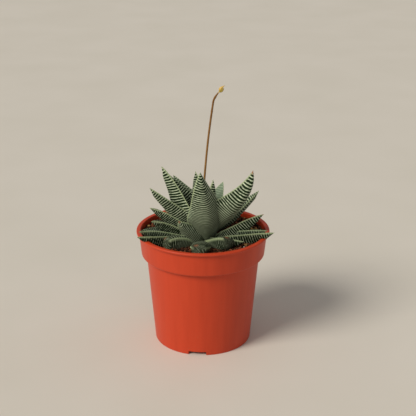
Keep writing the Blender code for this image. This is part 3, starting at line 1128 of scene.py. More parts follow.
    def build(self) -> None:
        """Make the bed, its crumbs, its threads and its grit."""
        peat = Peat().make()
        bed = plain_object("soil_bed", self.dish())
        bed.data.materials.append(peat)
        place_piece(bed, Slot.PEAT, "soil")
        crumbs = self.crumb_tree()
        threads = self.thread_tree()
        husk = Grit("broken_coir_husk", "#A8674A", "#5C3423").make()
        perlite = Grit("expanded_perlite", "#DEDAD0", "#B9B2A6").make()
        stone = Grit("crushed_tan_stone", "#C9A66B", "#97733F").make()
        kinds = (
            Crumbs("soil_crumbs", 3.2e5, 1.0, 2.6, 0.05, 3, peat),
            Crumbs("soil_fines", 4.5e5, 0.5, 1.2, 0.2, 8, peat),
            Crumbs("husk_chips", 0.2e5, 1.2, 3.2, 0.25, 21, husk),
            Crumbs("white_grit", 0.06e5, 0.7, 1.8, 0.35, 33, perlite),
            Crumbs("tan_grit", 0.06e5, 1.4, 3.0, 0.35, 40, stone),
        )
        for kind in kinds:
            piece = run_tree(
                self.seed_bed(kind.name, 6.0, self.radius - self.crumb_margin),
                crumbs,
                {
                    "Per Area": kind.density,
                    "Smallest": kind.smallest * MM,
                    "Largest": kind.largest * MM,
                    "Lift": kind.lift,
                    "Seed": kind.seed,
                    "Finish": kind.finish,
                },
            )
            place_piece(piece, Slot.PEAT)
        fibre = DriedStem("coir_fibre", "#7A4B30", "#A9714A", (86.0, 92.0), 0.2).make()
        piece = run_tree(
            self.seed_bed("coir_threads", 8.0, self.radius - self.thread_margin),
            threads,
            {
                "Per Area": self.thread_density,
                "Length": self.thread_length * MM,
                "Thickness": self.thread_thickness * MM,
                "Curl": self.thread_curl * MM,
                "Seed": 14,
                "Finish": fibre,
            },
        )
        place_piece(piece, Slot.PEAT)


# ---------------------------------------------------------------------------------------------
# Leaves


@dataclass(frozen=True)
class Leaf:
    """One leaf. Angles are in degrees and lengths in millimetres."""

    name: str
    turn: float              # compass direction of the tip, 0 along +X, -90 to the front
    reach: float             # distance of the tip from the pot's axis
    height: float            # height of the tip
    root: float              # height where the leaf leaves the stem
    sweep: float             # how far the root's direction is turned from the tip's
    climb: float             # slope at the root
    lift: float              # slope at the tip
    width: float
    roll: float = 0.0        # twist about the leaf's own length
    tip: Tip = Tip.POINTED
    grey: float = 0.35       # share of the back, from the root, that is finely ridged and grey
    pale: float = 0.0        # how smooth and pale the leaf is, partly a painted sheen
    dry: float = 0.0         # share of the length that has dried at the tip
    coarse: float = 2.0      # spacing of the bold ridges
    tone: float = 1.0        # how light the skin is beside the other leaves: below 1 it is painted shade on the low leaves under the others, besides the darker green of old leaves
    broken: float = 0.5      # how far the ridges break up into beads
    thick: float = 1.0       # thickness beside the other leaves
    lean: float = 0.0        # how much further down the ridges stay bold on one side
    scar: float = 0.45       # where across a blunt end the brown scar lies, from -1 to 1


# Short names that keep the table's rows on one line.
B = Tip.BLUNT
P = Tip.POINTED

# A tone below 1 is painted shade on the low leaves that lie under the others.
LEAVES = (
    Leaf("leaf_heart", 95, 4, 128, 94, 0, 80, 87, 10, 0, P, 0.1),
    Leaf("leaf_inner_left", -170, 6, 140, 92, 10, 75, 76, 20, -14, P, 0.15, coarse=1.8),
    Leaf("leaf_inner_right", -50, 12, 136, 90, 4, 69, 82, 16, 2, P, 0.2, coarse=1.8),
    Leaf("leaf_inner_back", 38, 10, 122, 93, 0, 74, 80, 14, 0, P, 0.2),
    Leaf("leaf_back_inner", 125, 17, 118, 93, 0, 70, 74, 17, 0, P, 0.3),
    Leaf("leaf_back_upright", 78, 20, 117, 94, 0, 68, 74, 20, 0, P, 0.4),
    Leaf("leaf_front_tall", -95, 25, 147, 86, 30, 58, 80, 30, 8, P, 0.6, coarse=1.85),
    Leaf("leaf_left_light", 140, 31, 130, 94, -12, 57, 54, 22, 9, P, 0.3, 0.25),
    Leaf("leaf_back_pale", 55, 28, 123.5, 92, 3, 61, 56, 21, 0, P, 0.4, 0.85),
    Leaf("leaf_left_second", 163, 29.5, 135.5, 95, -10, 58, 67, 25, 9, P, 0.2, coarse=2.1),
    Leaf("leaf_right_tall", -28, 42.5, 147, 90, -13, 61, 80, 27, 29, P, 0.5, dry=0.05, coarse=2.4),
    Leaf("leaf_left_tall", -164, 33, 146.5, 90, 0, 53, 52, 27, 0, P, 0.3, coarse=2.1),
    Leaf("leaf_back_tall", 108, 34, 109, 91, 0, 50, 52, 23, 0, P, 0.5),
    Leaf("leaf_left_long", -154, 45, 133, 92, -5, 45, 47, 20, -20, P, 0.25, coarse=1.95),
    Leaf("leaf_right_behind", 12, 45, 120.5, 90, 0, 29, 42, 19, -2, P, 0.3, 0.1),
    Leaf(
        "leaf_front_left", -133, 27.4, 106, 79, 6, 42, 50, 24, -40, P, 1.1,
        dry=0.05, tone=0.95, lean=-0.8,
    ),
    Leaf("leaf_back_dry", 147, 37, 100, 90, 0, 34, 30, 18, 0, P, 0.5, dry=0.25),
    Leaf("leaf_back_right", 62, 43, 101, 89, 0, 28, 34, 20, 0, P, 0.4),
    Leaf(
        "leaf_left_mid", -163, 43, 114, 87, 0, 24, 19, 22, -12, P, 0.3,
        coarse=1.45, tone=0.85, broken=0.7,
    ),
    Leaf(
        "leaf_right_low", -15, 48.5, 109, 82, -5, 8, 26, 22, 24, P, 0.5,
        dry=0.03, coarse=1.85, tone=0.75, lean=0.3,
    ),
    Leaf(
        "leaf_blunt_front", -94, 37.5, 91, 81, 0, 14, 20, 15, 0, B, 0.9,
        tone=0.6, broken=0.9, thick=1.1,
    ),
    Leaf(
        "leaf_blunt_right", -54, 32, 92, 80, -6, 12, 20, 15, 28, B, 0.8,
        tone=0.55, broken=0.7, thick=1.1,
    ),
    Leaf(
        "leaf_blunt_left", -140, 36, 91, 80, 14, 12, 2, 15, -22, B, 0.9,
        tone=0.7, broken=0.7, thick=1.2, scar=0.0,
    ),
    Leaf(
        "leaf_left_low", -155, 44, 105, 84, -3, 10, 5, 24, -10, P, 0.2,
        coarse=1.45, tone=0.65, broken=0.9, thick=1.2,
    ),
    Leaf("leaf_back_low_left", 120, 46, 97, 87, 0, 12, 22, 20, 0, P, 0.4),
    Leaf("leaf_back_low_right", 88, 48, 97, 87, 0, 10, 24, 21, 0, P, 0.4),
    Leaf(
        "leaf_right_rim_rear", -16, 52, 96, 86, 2, 4, 4, 19, 20, P, 0.5, 0.1,
        coarse=1.7, tone=0.75, broken=0.8, thick=1.2,
    ),
    Leaf(
        "leaf_left_rim_rear", -159, 53, 96.5, 86, 0, 4, -6, 22, -4, P, 0.1, 0.1,
        coarse=1.6, tone=0.7, broken=0.9, thick=1.3,
    ),
    Leaf(
        "leaf_right_rim", -22, 59, 97.5, 84, -6, 6, 14, 20, 17, P, 0.1,
        coarse=1.8, tone=0.65, broken=0.7, thick=1.4,
    ),
    Leaf(
        "leaf_left_rim", -150, 58, 96.5, 86, 0, 4, 14, 21, -17, P, 0.1,
        coarse=1.75, tone=0.6, broken=0.9, thick=1.4,
    ),
    Leaf("leaf_right_front_low", -41, 41, 92, 83, -4, 6, 10, 16, 26, P, 0.3, tone=0.5, thick=1.3),
)


@dataclass(frozen=True)
class CapRing:
    """One ring of points in the puckered cap of a blunt leaf."""

    scale: float             # size beside the leaf's last ring
    push: float              # how far it stands out past the leaf's end, in millimetres
    edge: float              # how much of the horny margin is left on it
    scar: float              # how much of the scar shows on it


CAP = (
    CapRing(0.97, 0.8, 1.0, 0.8),
    CapRing(0.90, 1.5, 0.7, 0.9),
    CapRing(0.78, 2.1, 0.3, 0.5),
    CapRing(0.60, 2.5, 0.0, 0.1),
    CapRing(0.38, 2.7, 0.0, 0.0),
    CapRing(0.15, 2.7, 0.0, 0.0),
)


@dataclass
class Rosette:
    """All the leaves, and the rules that they share."""

    root_radius: float = 4.0
    draw: float = 0.36           # how far the end directions reach, as a share of the span
    thickness: float = 0.34      # thickest depth as a share of the width
    keel: float = 1.45           # 1 is a sharp keel, 2 a round back
    stub_keel: float = 2.8       # a blunt leaf is swollen and nearly round behind
    stub_top: float = 0.4        # how far its inner face bulges, as a share of its depth
    keel_round: float = 0.004    # how far the keel's edge is rounded off
    back_full: float = 0.9       # below 1 the back is fuller beside the margins
    face_bulge: float = 0.13     # how far the inner face stands up, as a share of its depth
    face_hollow: float = 0.10    # and how far it is hollowed again in the middle
    cup: float = 0.22            # how far the margins rise, as a share of half the width
    taper: float = 1.45          # 1 narrows evenly to the tip, more keeps a leaf broad for longer
    waist: float = 0.12          # how far a leaf's sides draw in on the way to the tip
    tip_share: float = 0.015
    thin_from: float = 0.12      # share of the length over which the end thins out
    thinnest: float = 0.25       # in millimetres
    blunt_share: float = 0.85    # width left at a blunt end
    blunt_thick: float = 1.5     # how much thicker a blunt leaf is than a pointed one
    widest: float = 0.37         # where along its length a leaf is widest
    root_share: float = 0.42     # width left at its root
    fine: float = 1.4            # spacing of the fine ridges, in millimetres
    samples: int = 6             # rings of points for each ridge
    upper: int = 18              # points across the inner face
    lower: int = 26              # points across the back
    relief: float = 0.15         # height of a ridge as a share of its spacing
    edge_bold: float = 0.4       # how much further down the ridges stay bold beside the margins
    blend: float = 0.2           # share of the length, each way, over which grey turns to bold
    spacing_blend: float = 0.16  # and over which the spacing changes
    face_grey: float = 0.75      # how much less grey the inner face is than the back
    flat_at: float = 10.0        # how late across a leaf the ridges fade towards the margins
    narrow: tuple[float, float] = (0.3, 2.5)     # half widths between which they fade by the tip
    margin: tuple[float, float] = (0.05, 0.5)    # distances over which the horny margin fades
    waver: float = 1.1           # how far the ridges wander, in ridges
    waver_size: float = 6.0      # length of a bend in a ridge, in millimetres
    bead: float = 1.4            # length of a bead, in millimetres
    tooth: float = 0.42          # width of a horny tooth, in millimetres
    cap_stripes: float = 5.0     # stripes from one side of a blunt end to its middle
    lip_rest: float = 92.3       # height at which a leaf rests on the pot's lip
    lip_band: tuple[float, float] = (49.0, 53.0)

    @staticmethod
    def heading(turn: float, slope: float) -> np.ndarray:
        """Return the unit direction with a compass turn and a slope, both in degrees."""
        turn = math.radians(turn)
        slope = math.radians(slope)
        flat = math.cos(slope)
        return np.array([flat * math.cos(turn), flat * math.sin(turn), math.sin(slope)])

    def line(self, leaf: Leaf, share: np.ndarray) -> tuple[np.ndarray, np.ndarray]:
        """Return points on a leaf's middle line and the directions there.

        Args:
            leaf: the leaf.
            share: shares of its length.

        Returns:
            The points and the unit directions, a row for each share.
        """
        base_turn = leaf.turn + leaf.sweep
        start = self.heading(base_turn, 0) * self.root_radius + np.array([0, 0, leaf.root])
        end = self.heading(leaf.turn, 0) * leaf.reach + np.array([0, 0, leaf.height])
        draw = np.linalg.norm(end - start) * self.draw
        first = start + self.heading(base_turn, leaf.climb) * draw
        second = end - self.heading(leaf.turn, leaf.lift) * draw
        s = share[:, None]
        back = 1 - s
        point = start * back ** 3 + first * 3 * back ** 2 * s + second * 3 * back * s ** 2 + end * s ** 3
        along = (first - start) * back ** 2 + (second - first) * 2 * back * s + (end - second) * s ** 2
        return point, along / np.linalg.norm(along, axis=1, keepdims=True)

    def width(self, leaf: Leaf, share: np.ndarray) -> np.ndarray:
        """Return a leaf's width along its length, as a part of its full width."""
        rise = self.root_share + (1 - self.root_share) * np.sin(
            np.minimum(share / self.widest, 1) * math.pi / 2
        )
        run = np.clip((share - self.widest) / (1 - self.widest), 0, 1)
        if leaf.tip is Tip.BLUNT:
            fall = 1 - (1 - self.blunt_share) * run ** 5
        else:
            fall = (1 - run ** self.taper) * (1 - self.waist * np.sin(math.pi * run))
            fall = np.maximum(fall, self.tip_share)
        return np.where(share < self.widest, rise, fall)

    def depth(self, leaf: Leaf, share: np.ndarray) -> np.ndarray:
        """Return a leaf's thickness along its length, in millimetres."""
        full = leaf.width * self.thickness * leaf.thick
        if leaf.tip is Tip.BLUNT:
            return full * self.blunt_thick * (1 - 0.15 * share ** 6)
        end = np.minimum(1, (1 - share) / self.thin_from) ** 0.7
        return np.maximum(full * (0.3 + 0.7 * self.width(leaf, share)) * end, self.thinnest)

    def section(self, leaf: Leaf) -> tuple[np.ndarray, np.ndarray, np.ndarray]:
        """Return a leaf's section: places across, places up, and which points are inner face."""
        keel = self.keel if leaf.tip is Tip.POINTED else self.stub_keel
        over = np.linspace(0, math.pi, self.upper, endpoint=False)
        under = np.linspace(math.pi, math.tau, self.lower, endpoint=False)
        across = np.cos(np.concatenate([over, under]))
        inner = np.concatenate([np.ones(self.upper), np.zeros(self.lower)])
        free = np.clip(1 - across ** 2, 0, 1)
        top = self.face_bulge * np.sqrt(free) - self.face_hollow * free ** 2
        if leaf.tip is Tip.BLUNT:
            top = self.stub_top * np.sqrt(free)
        blunted = (np.abs(across) ** 3 + self.keel_round) ** (1 / 3)
        bottom = -np.clip(1 - blunted ** keel, 0, 1) ** self.back_full
        return across, np.where(inner > 0, top, bottom), inner

    def back_gap(self, leaf: Leaf, share: np.ndarray, blend: float) -> np.ndarray:
        """Return the spacing of the ridges on the back, fine by the root and bold by the tip."""
        bold = smooth_step(share, leaf.grey - blend, leaf.grey + blend)
        return self.fine + (leaf.coarse - self.fine) * bold

    def stations(self, leaf: Leaf) -> tuple[np.ndarray, np.ndarray, np.ndarray]:
        """Return the shares of the rings, and the ridge wave there on the back and inner face."""
        fewest = 60
        close = np.linspace(0, 1, 600)
        point, _ = self.line(leaf, close)
        step = np.linalg.norm(np.diff(point, axis=0), axis=1)
        back_gap = self.back_gap(leaf, close, self.spacing_blend)
        face_gap = leaf.coarse * (0.85 + 0.15 * smooth_step(close, 0.2, 0.7))
        back = np.concatenate([[0], (step / back_gap[1:]).cumsum()])
        face = np.concatenate([[0], (step / face_gap[1:]).cumsum()])
        count = max(fewest, int(back[-1] * self.samples))
        share = np.interp(np.linspace(0, back[-1], count), back, close)
        return share, np.interp(share, close, back), np.interp(share, close, face)

    def frame_at(self, leaf: Leaf, along: np.ndarray) -> tuple[np.ndarray, np.ndarray]:
        """Return the sideways and upwards directions of a leaf, with its roll.

        Args:
            leaf: the leaf.
            along: the directions of its middle line.

        Returns:
            Both directions, a row for each direction of the line.
        """
        turn = math.radians(leaf.turn + leaf.sweep)
        roll = math.radians(leaf.roll)
        sideways = np.array([math.sin(turn), -math.cos(turn), 0.0])
        side = sideways - along * (along @ sideways)[:, None]
        side /= np.linalg.norm(side, axis=1, keepdims=True)
        up = np.cross(side, along)
        rolled = side * math.cos(roll) + up * math.sin(roll)
        return rolled, up * math.cos(roll) - side * math.sin(roll)

    def rest_on_lip(self, rings: np.ndarray) -> np.ndarray:
        """Lift what would sink into the pot's lip on to it."""
        low, high = self.lip_band
        radius = np.hypot(rings[..., 0], rings[..., 1])
        on_lip = smooth_step(radius, low - 2, low) * (1 - smooth_step(radius, high, high + 1.5))
        short = np.maximum(0, self.lip_rest - rings[..., 2])
        rings[..., 2] += short * on_lip
        return rings

    def blade(self, leaf: Leaf) -> bpy.types.Mesh:
        """Loft one leaf, with the numbers that its ridges and finish read."""
        share, back_wave, face_wave = self.stations(leaf)
        point, along = self.line(leaf, share)
        side, up = self.frame_at(leaf, along)
        across, lifted, inner = self.section(leaf)
        cup = self.cup if leaf.tip is Tip.POINTED else 0.0
        half = self.width(leaf, share) * leaf.width / 2
        depth = self.depth(leaf, share)
        rings = (
            point[:, None, :]
            + side[:, None, :] * (half[:, None] * across)[:, :, None]
            + up[:, None, :] * (
                depth[:, None] * lifted + half[:, None] * (cup * across ** 2)
            )[:, :, None]
        )
        marks = self.skin_marks(leaf, share, across, inner)
        marks["phase"] = np.where(inner > 0, face_wave[:, None], back_wave[:, None])
        marks["tooth"] = self.tooth_marks(back_wave, share)[:, None] * (np.abs(across) > 0.999)
        if leaf.tip is Tip.BLUNT:
            scarred = inner * (1 - smooth_step(np.abs(across - leaf.scar), 0.1, 0.4))
            rings, marks = self.close_blunt(rings, along[-1], across, scarred, marks)
        return loft(leaf.name, self.rest_on_lip(rings), marks)

    def skin_marks(
        self,
        leaf: Leaf,
        share: np.ndarray,
        across: np.ndarray,
        inner: np.ndarray,
    ) -> dict[str, np.ndarray]:
        """Return the numbers that say how strong, grey, pale or dry the skin is at each point.

        Args:
            leaf: the leaf.
            share: shares of its length, one for each ring.
            across: how far across the leaf each point of the section lies.
            inner: 1 for the points of the inner face and 0 for the back.

        Returns:
            A (rings, points) array for each name.
        """
        even = np.ones((len(share), len(across)))
        half = self.width(leaf, share) * leaf.width / 2
        from_margin = np.maximum(half, 0.4)[:, None] * (1 - np.abs(across))
        margin = 1 - smooth_step(from_margin, *self.margin)
        reach_in = share[:, None] + self.edge_bold * across ** 4 + leaf.lean * across
        strong = smooth_step(reach_in, leaf.grey - self.blend, leaf.grey + self.blend)
        gap = np.where(inner > 0, leaf.coarse, self.back_gap(leaf, share, self.blend)[:, None])
        fade = (1 - np.abs(across) ** self.flat_at) * smooth_step(half, *self.narrow)[:, None]
        dry = smooth_step(share, 1.0 - leaf.dry, 1.01 - leaf.dry * 0.5)
        return {
            "raise": gap * self.relief * fade * (1 - 0.6 * leaf.pale),
            "soften": (1 - strong) * (1 - self.face_grey * inner),
            # Painted shade: a lower tone dims the margin and darkens the skin of the low leaves.
            "edge": margin * (0.3 + 0.45 * leaf.tone),
            "dry": dry[:, None] * even,
            "scar": even * 0.0,
            # The pale number is partly a painted sheen.
            "pale": even * (leaf.pale * 0.85),
            "tone": even * leaf.tone,
            "bold": strong,
        }

    @staticmethod
    def tooth_marks(wave: np.ndarray, share: np.ndarray) -> np.ndarray:
        """Mark the one ring nearest each ridge's crest, clear of the root and the tip."""
        whole = np.round(wave)
        marks = np.zeros(len(wave))
        for number in np.unique(whole):
            nearest = np.abs(wave - number).argmin()
            if 0.12 < share[nearest] < 0.985:
                marks[nearest] = 1.0
        return marks

    def close_blunt(
        self,
        rings: np.ndarray,
        along: np.ndarray,
        across: np.ndarray,
        scarred: np.ndarray,
        marks: dict[str, np.ndarray],
    ) -> tuple[np.ndarray, dict[str, np.ndarray]]:
        """Close a died-back end with a puckered dome.

        Args:
            rings: the leaf's rings.
            along: the direction at its end.
            across: how far across the leaf each point of the section lies.
            scarred: how far the scar covers the end at each point of the section.
            marks: the leaf's numbers.

        Returns:
            The rings and numbers with the dome's added.
        """
        last = rings[-1]
        middle = last.mean(0)
        wobble = np.random.default_rng(5).normal(0, 0.12, (len(last), 1))
        dome = []
        for ring in CAP:
            out = ring.push + wobble * (1 - abs(ring.scale - 0.6))
            dome.append(middle + (last - middle) * ring.scale + along * out)
        scale, edge, scar = (
            np.array(column)[:, None]
            for column in zip(*((ring.scale, ring.edge, ring.scar) for ring in CAP))
        )
        ends = {label: np.repeat(values[-1:], len(CAP), axis=0) for label, values in marks.items()}
        level = ends["phase"].mean()
        ends["phase"] = level + (ends["phase"] - level + across * self.cap_stripes) * scale
        ends["edge"] = ends["edge"] * edge
        ends["scar"] = scarred * scar
        for label, value in (("soften", 0.5), ("bold", 1.0), ("raise", 0.3), ("tooth", 0.0)):
            ends[label][:] = value
        grown = {label: np.concatenate([values, ends[label]]) for label, values in marks.items()}
        return np.concatenate([rings, np.array(dome)]), grown

    def washboard_tree(self) -> bpy.types.NodeTree:
        """Build the tree that raises the ridges and sets a tooth at each end of a ridge."""
        tree, start, outcome = geometry_tree(
            "leaf_washboard",
            {
                "Waver": "Float",
                "Waver Size": "Float",
                "Beading": "Float",
                "Bead Size": "Float",
                "Tooth": "Float",
                "Seed": "Float",
                "Finish": "Material",
            },
        )
        given = {item.name: item for item in start.outputs}
        marks = {
            name: add(tree, "GeometryNodeInputNamedAttribute", {"Name": name}, data_type="FLOAT")
            for name in ("phase", "raise", "bold", "tooth")
        }
        place = add(tree, "GeometryNodeInputPosition")
        slow, quick = (
            add(
                tree,
                "ShaderNodeTexNoise",
                {
                    "Vector": place,
                    "W": given["Seed"],
                    "Scale": add(tree, "ShaderNodeMath", {0: 1.0, 1: given[size]}, operation="DIVIDE"),
                    "Detail": detail,
                },
                noise_dimensions="4D",
            )
            for size, detail in (("Waver Size", 2.0), ("Bead Size", 1.0))
        )
        centred = add(tree, "ShaderNodeMath", {0: slow, 1: 0.5}, operation="SUBTRACT")
        shift = add(tree, "ShaderNodeMath", {0: centred, 1: given["Waver"]}, operation="MULTIPLY")
        phase = add(tree, "ShaderNodeMath", {0: marks["phase"], 1: shift}, operation="ADD")
        turned = add(tree, "ShaderNodeMath", {0: phase, 1: math.tau}, operation="MULTIPLY")
        wave = add(tree, "ShaderNodeMath", {0: turned}, operation="COSINE")
        crest = add(tree, "ShaderNodeMapRange", {"Value": wave, 1: -1.0, 2: 1.0})
        gaps = add(
            tree,
            "ShaderNodeMapRange",
            {"Value": quick, 1: 0.54, 2: 0.42},
            interpolation_type="SMOOTHSTEP",
        )
        for part in (given["Beading"], marks["bold"]):
            gaps = add(tree, "ShaderNodeMath", {0: gaps, 1: part}, operation="MULTIPLY")
        beads = add(tree, "ShaderNodeMath", {0: 1.0, 1: gaps}, operation="SUBTRACT")
        height = crest
        for part in (marks["raise"], beads, MM):
            height = add(tree, "ShaderNodeMath", {0: height, 1: part}, operation="MULTIPLY")
        normal = add(tree, "GeometryNodeInputNormal")
        lift = add(tree, "ShaderNodeVectorMath", {0: normal, "Scale": height}, operation="SCALE")
        skin = given["Geometry"]
        for name, value in (("phase", phase), ("beads", beads)):
            skin = add(
                tree,
                "GeometryNodeStoreNamedAttribute",
                {"Geometry": skin, "Name": f"new_{name}", "Value": value},
                data_type="FLOAT",
                domain="POINT",
            )
        raised = add(tree, "GeometryNodeSetPosition", {"Geometry": skin, "Offset": lift})
        for name in ("phase", "beads"):
            value = add(
                tree,
                "GeometryNodeInputNamedAttribute",
                {"Name": f"new_{name}"},
                data_type="FLOAT",
            )
            raised = add(
                tree,
                "GeometryNodeStoreNamedAttribute",
                {"Geometry": raised, "Name": name, "Value": value},
                data_type="FLOAT",
                domain="POINT",
            )
        tooth = add(
            tree,
            "GeometryNodeMeshCone",
            {"Vertices": 5, "Radius Top": 0.0, "Radius Bottom": 0.5, "Depth": 1.6},
        )
        # The teeth take a full tone, so they carry no painted shade whatever leaf they sit on.
        for name, value in (("phase", 0.0), ("beads", 1.0), ("edge", 0.8), ("tone", 1.0)):
            tooth = add(
                tree,
                "GeometryNodeStoreNamedAttribute",
                {"Geometry": tooth, "Name": name, "Value": value},
                data_type="FLOAT",
                domain="POINT",
            )
        chosen = add(
            tree,
            "FunctionNodeCompare",
            {"A": marks["tooth"], "B": 0.5},
            data_type="FLOAT",
            operation="GREATER_THAN",
        )
        turn = add(
            tree,
            "FunctionNodeAlignRotationToVector",
            {"Vector": add(tree, "GeometryNodeInputNormal")},
            axis="Z",
        )
        chance = add(
            tree,
            "FunctionNodeRandomValue",
            {"Min": 0.6, "Max": 1.2, "Seed": 4},
            data_type="FLOAT",
        )
        size = add(tree, "ShaderNodeMath", {0: given["Tooth"], 1: chance}, operation="MULTIPLY")
        teeth = add(
            tree,
            "GeometryNodeInstanceOnPoints",
            {"Points": raised, "Selection": chosen, "Instance": tooth, "Rotation": turn, "Scale": size},
        )
        whole = tree.nodes.new("GeometryNodeJoinGeometry")
        tree.links.new(raised, whole.inputs[0])
        tree.links.new(teeth, whole.inputs[0])
        close_tree(tree, whole.outputs[0], given["Finish"], outcome)
        return tree

    def build(self) -> None:
        """Make every leaf."""
        cuticle = RidgedCuticle().make()
        tree = self.washboard_tree()
        for number, leaf in enumerate(LEAVES):
            piece = run_tree(
                plain_object(f"{leaf.name}_blade", self.blade(leaf)),
                tree,
                {
                    "Waver": self.waver,
                    "Waver Size": self.waver_size * MM,
                    "Beading": leaf.broken,
                    "Bead Size": self.bead * MM,
                    "Tooth": self.tooth * MM,
                    "Seed": 1.7 * number,
                    "Finish": cuticle,
                },
            )
            place_piece(piece, Slot.LEAF, leaf.name)


# ---------------------------------------------------------------------------------------------
# Crown stem, flower stalk and bud


@dataclass
class CrownStem:
    """The short stem that the leaves grow from, ringed with old leaf bases. In millimetres."""

    bottom: float = 76.0
    top: float = 98.0
    radius: float = 5.0
    top_radius: float = 2.4
    hub: float = 0.4             # radius left for the points that close its ends
    scar: float = 0.25           # height of the rings that old leaves left
    scar_turns: float = 2.4      # how closely they follow one another
    longest: float = 0.4         # longest stretch of the section between two rings
    steps: int = 64

    def build(self) -> None:
        """Make the stem."""
        finish = DriedStem("corky_stem_skin", "#6E5236", "#62713F", (84.0, 96.0), 0.5).make()
        path = refined(
            rounded([
                (self.hub, self.top, 0),
                (self.top_radius, self.top, 1.0),
                (self.radius * 0.8, self.top - 6, 2.0),
                (self.radius, self.top - 12, 2.0),
                (self.radius, self.bottom + 2, 1.0),
                (self.radius - 2, self.bottom, 1.0),
                (self.hub, self.bottom, 0),
            ]),
            self.longest,
        )
        angles = even_turns(self.steps)
        plain = path[:, 0][:, None]
        height = np.repeat(path[:, 1][:, None], self.steps, axis=1)
        scars = self.scar * np.sin(height * self.scar_turns + 2 * angles)
        rings = round_axis(plain + scars * (plain / self.radius), height, angles)
        piece = plain_object("ringed_crown_stem", loft("ringed_crown_stem", rings))
        piece.data.materials.append(finish)
        place_piece(piece, Slot.STEM, "crown_stem")


@dataclass
class Stalk:
    """The dried flower stalk: a thin rod, bowed over at its top."""

    start: float = -0.8          # how far to the right its root lies, in millimetres
    lean: float = 8.4            # how much further to the right it is where it bends over
    bow: float = 2.7             # and how much further still at its end
    bend: float = 6.5            # height of the bent part
    top: float = 201.4
    root: float = 98.35
    depth: float = 1.5           # how far behind the pot's axis it stands
    radius: float = 0.8
    taper: float = 0.16          # how much thinner the top is than the root
    furrow: float = 0.05         # depth of the furrows as a share of the radius
    node_length: float = 0.006   # as a share of the stalk's length
    # Each swollen node is (share of the length, swelling as a share of the radius).
    nodes: tuple[tuple[float, float], ...] = ((0.32, 0.10), (0.62, 0.08), (0.86, 0.10), (0.965, 0.16))
    sides: int = 16
    stations: int = 220

    def route(self, share: np.ndarray) -> np.ndarray:
        """Return points on the stalk's middle line."""
        bend_height = self.top - self.bend
        height = self.root + (self.top - self.root) * share
        rise = (height - self.root) / (bend_height - self.root)
        over = np.maximum(0, (height - bend_height) / self.bend)
        lean = self.lean * rise * (0.35 + 0.65 * rise) + self.bow * over ** 1.5
        depth = self.depth * np.minimum(1, share * 4)
        return np.stack([self.start + lean, depth, height], axis=1)

    def build(self) -> None:
        """Make the stalk, with swollen nodes and lengthwise furrows."""
        share = np.linspace(0, 1, self.stations)
        radius = self.radius * (1.08 - self.taper * share)
        for node, swelling in self.nodes:
            nearness = np.exp(-((share - node) / self.node_length) ** 2)
            radius = radius + self.radius * swelling * nearness
        radius = radius * (1 - 0.35 * smooth_step(share, 0.97, 1.0))
        angles = even_turns(self.sides)
        reach = radius[:, None] * (1 + self.furrow * np.cos(5 * angles + 9 * share[:, None]))
        rings = tube(self.route(share), reach * np.cos(angles), reach * np.sin(angles))
        piece = plain_object("stalk_rod", loft("stalk_rod", rings))
        piece.data.materials.append(
            DriedStem("dried_flower_stalk", "#9C7540", "#7E561F", (120.0, 190.0)).make()
        )
        place_piece(piece, Slot.STALK, "flower_stalk")


@dataclass(frozen=True)
class Lobe:
    """One creased piece of the bud. Places are in millimetres from the stalk's end."""

    name: str
    start: tuple[float, float, float]
    end: tuple[float, float, float]
    bulge: tuple[float, float, float]    # how far its middle bows sideways
    radius: float
    twist: float                         # where round it the creases start
    finish: bpy.types.Material


@dataclass
class Bud:
    """The dried bud: two papery lobes side by side on a thin neck, with a wisp at the end."""

    crease: float = 0.14         # depth of the creases, as a share of the radius
    wrinkle: float = 0.05        # depth of the wrinkles between them
    flatness: float = 0.9        # depth of a lobe beside its width
    thinnest: float = 0.12
    sides: int = 28
    stations: int = 40

    def lobe(self, neck: np.ndarray, part: Lobe) -> bpy.types.Object:
        """Make one lobe.

        Args:
            neck: the stalk's end.
            part: the lobe's sizes.

        Returns:
            The lobe.
        """
        share = np.linspace(0, 1, self.stations)
        start = neck + np.array(part.start)
        end = neck + np.array(part.end)
        bow = np.array(part.bulge) * np.sin(math.pi * share)[:, None]
        point = start + (end - start) * share[:, None] + bow
        swell = np.sin(math.pi * share ** 0.8) ** 0.8
        angles = even_turns(self.sides)
        crease = 1 + self.crease * np.cos(6 * angles + part.twist + 2.2 * share[:, None])
        crease += self.wrinkle * np.cos(13 * angles + 5 * share[:, None] + part.twist)
        reach = np.maximum(part.radius * swell, self.thinnest)[:, None] * crease
        rings = tube(point, reach * np.cos(angles), reach * np.sin(angles) * self.flatness)
        piece = plain_object(part.name, loft(part.name, rings))
        piece.data.materials.append(part.finish)
        return piece

    def build(self, stalk: Stalk) -> None:
        """Make the lobes, the wisp and the neck."""
        neck = stalk.route(np.array([1.0]))[0]
        olive = PaperyBract("dried_bract_olive", "#BFA750", "#857534").make()
        straw = PaperyBract("dried_bract_straw", "#EBCB78", "#C29A44").make()
        parts = (
            Lobe("bud_lower_lobe", (0.6, 0, 0.6), (4.3, -0.1, 3.5), (0.1, -0.1, -0.1), 1.15, 0.0, olive),
            Lobe("bud_upper_lobe", (0.75, 0.2, 1.2), (4.4, 0.2, 5.0), (-0.45, 0, 0.4), 1.1, 1.3, straw),
            Lobe("bud_wisp", (3.6, 0.2, 4.2), (4.9, 0.3, 5.5), (-0.1, 0, 0.2), 0.32, 2.1, straw),
            Lobe("bud_neck", (-0.2, 0, -0.2), (1.2, 0, 1.25), (0, 0, 0), 0.42, 0.6, straw),
        )
        stands_for = ("flower_bud",)
        for part in parts:
            place_piece(self.lobe(neck, part), Slot.BUD, *stands_for)
            stands_for = ()


# ---------------------------------------------------------------------------------------------
# Studio


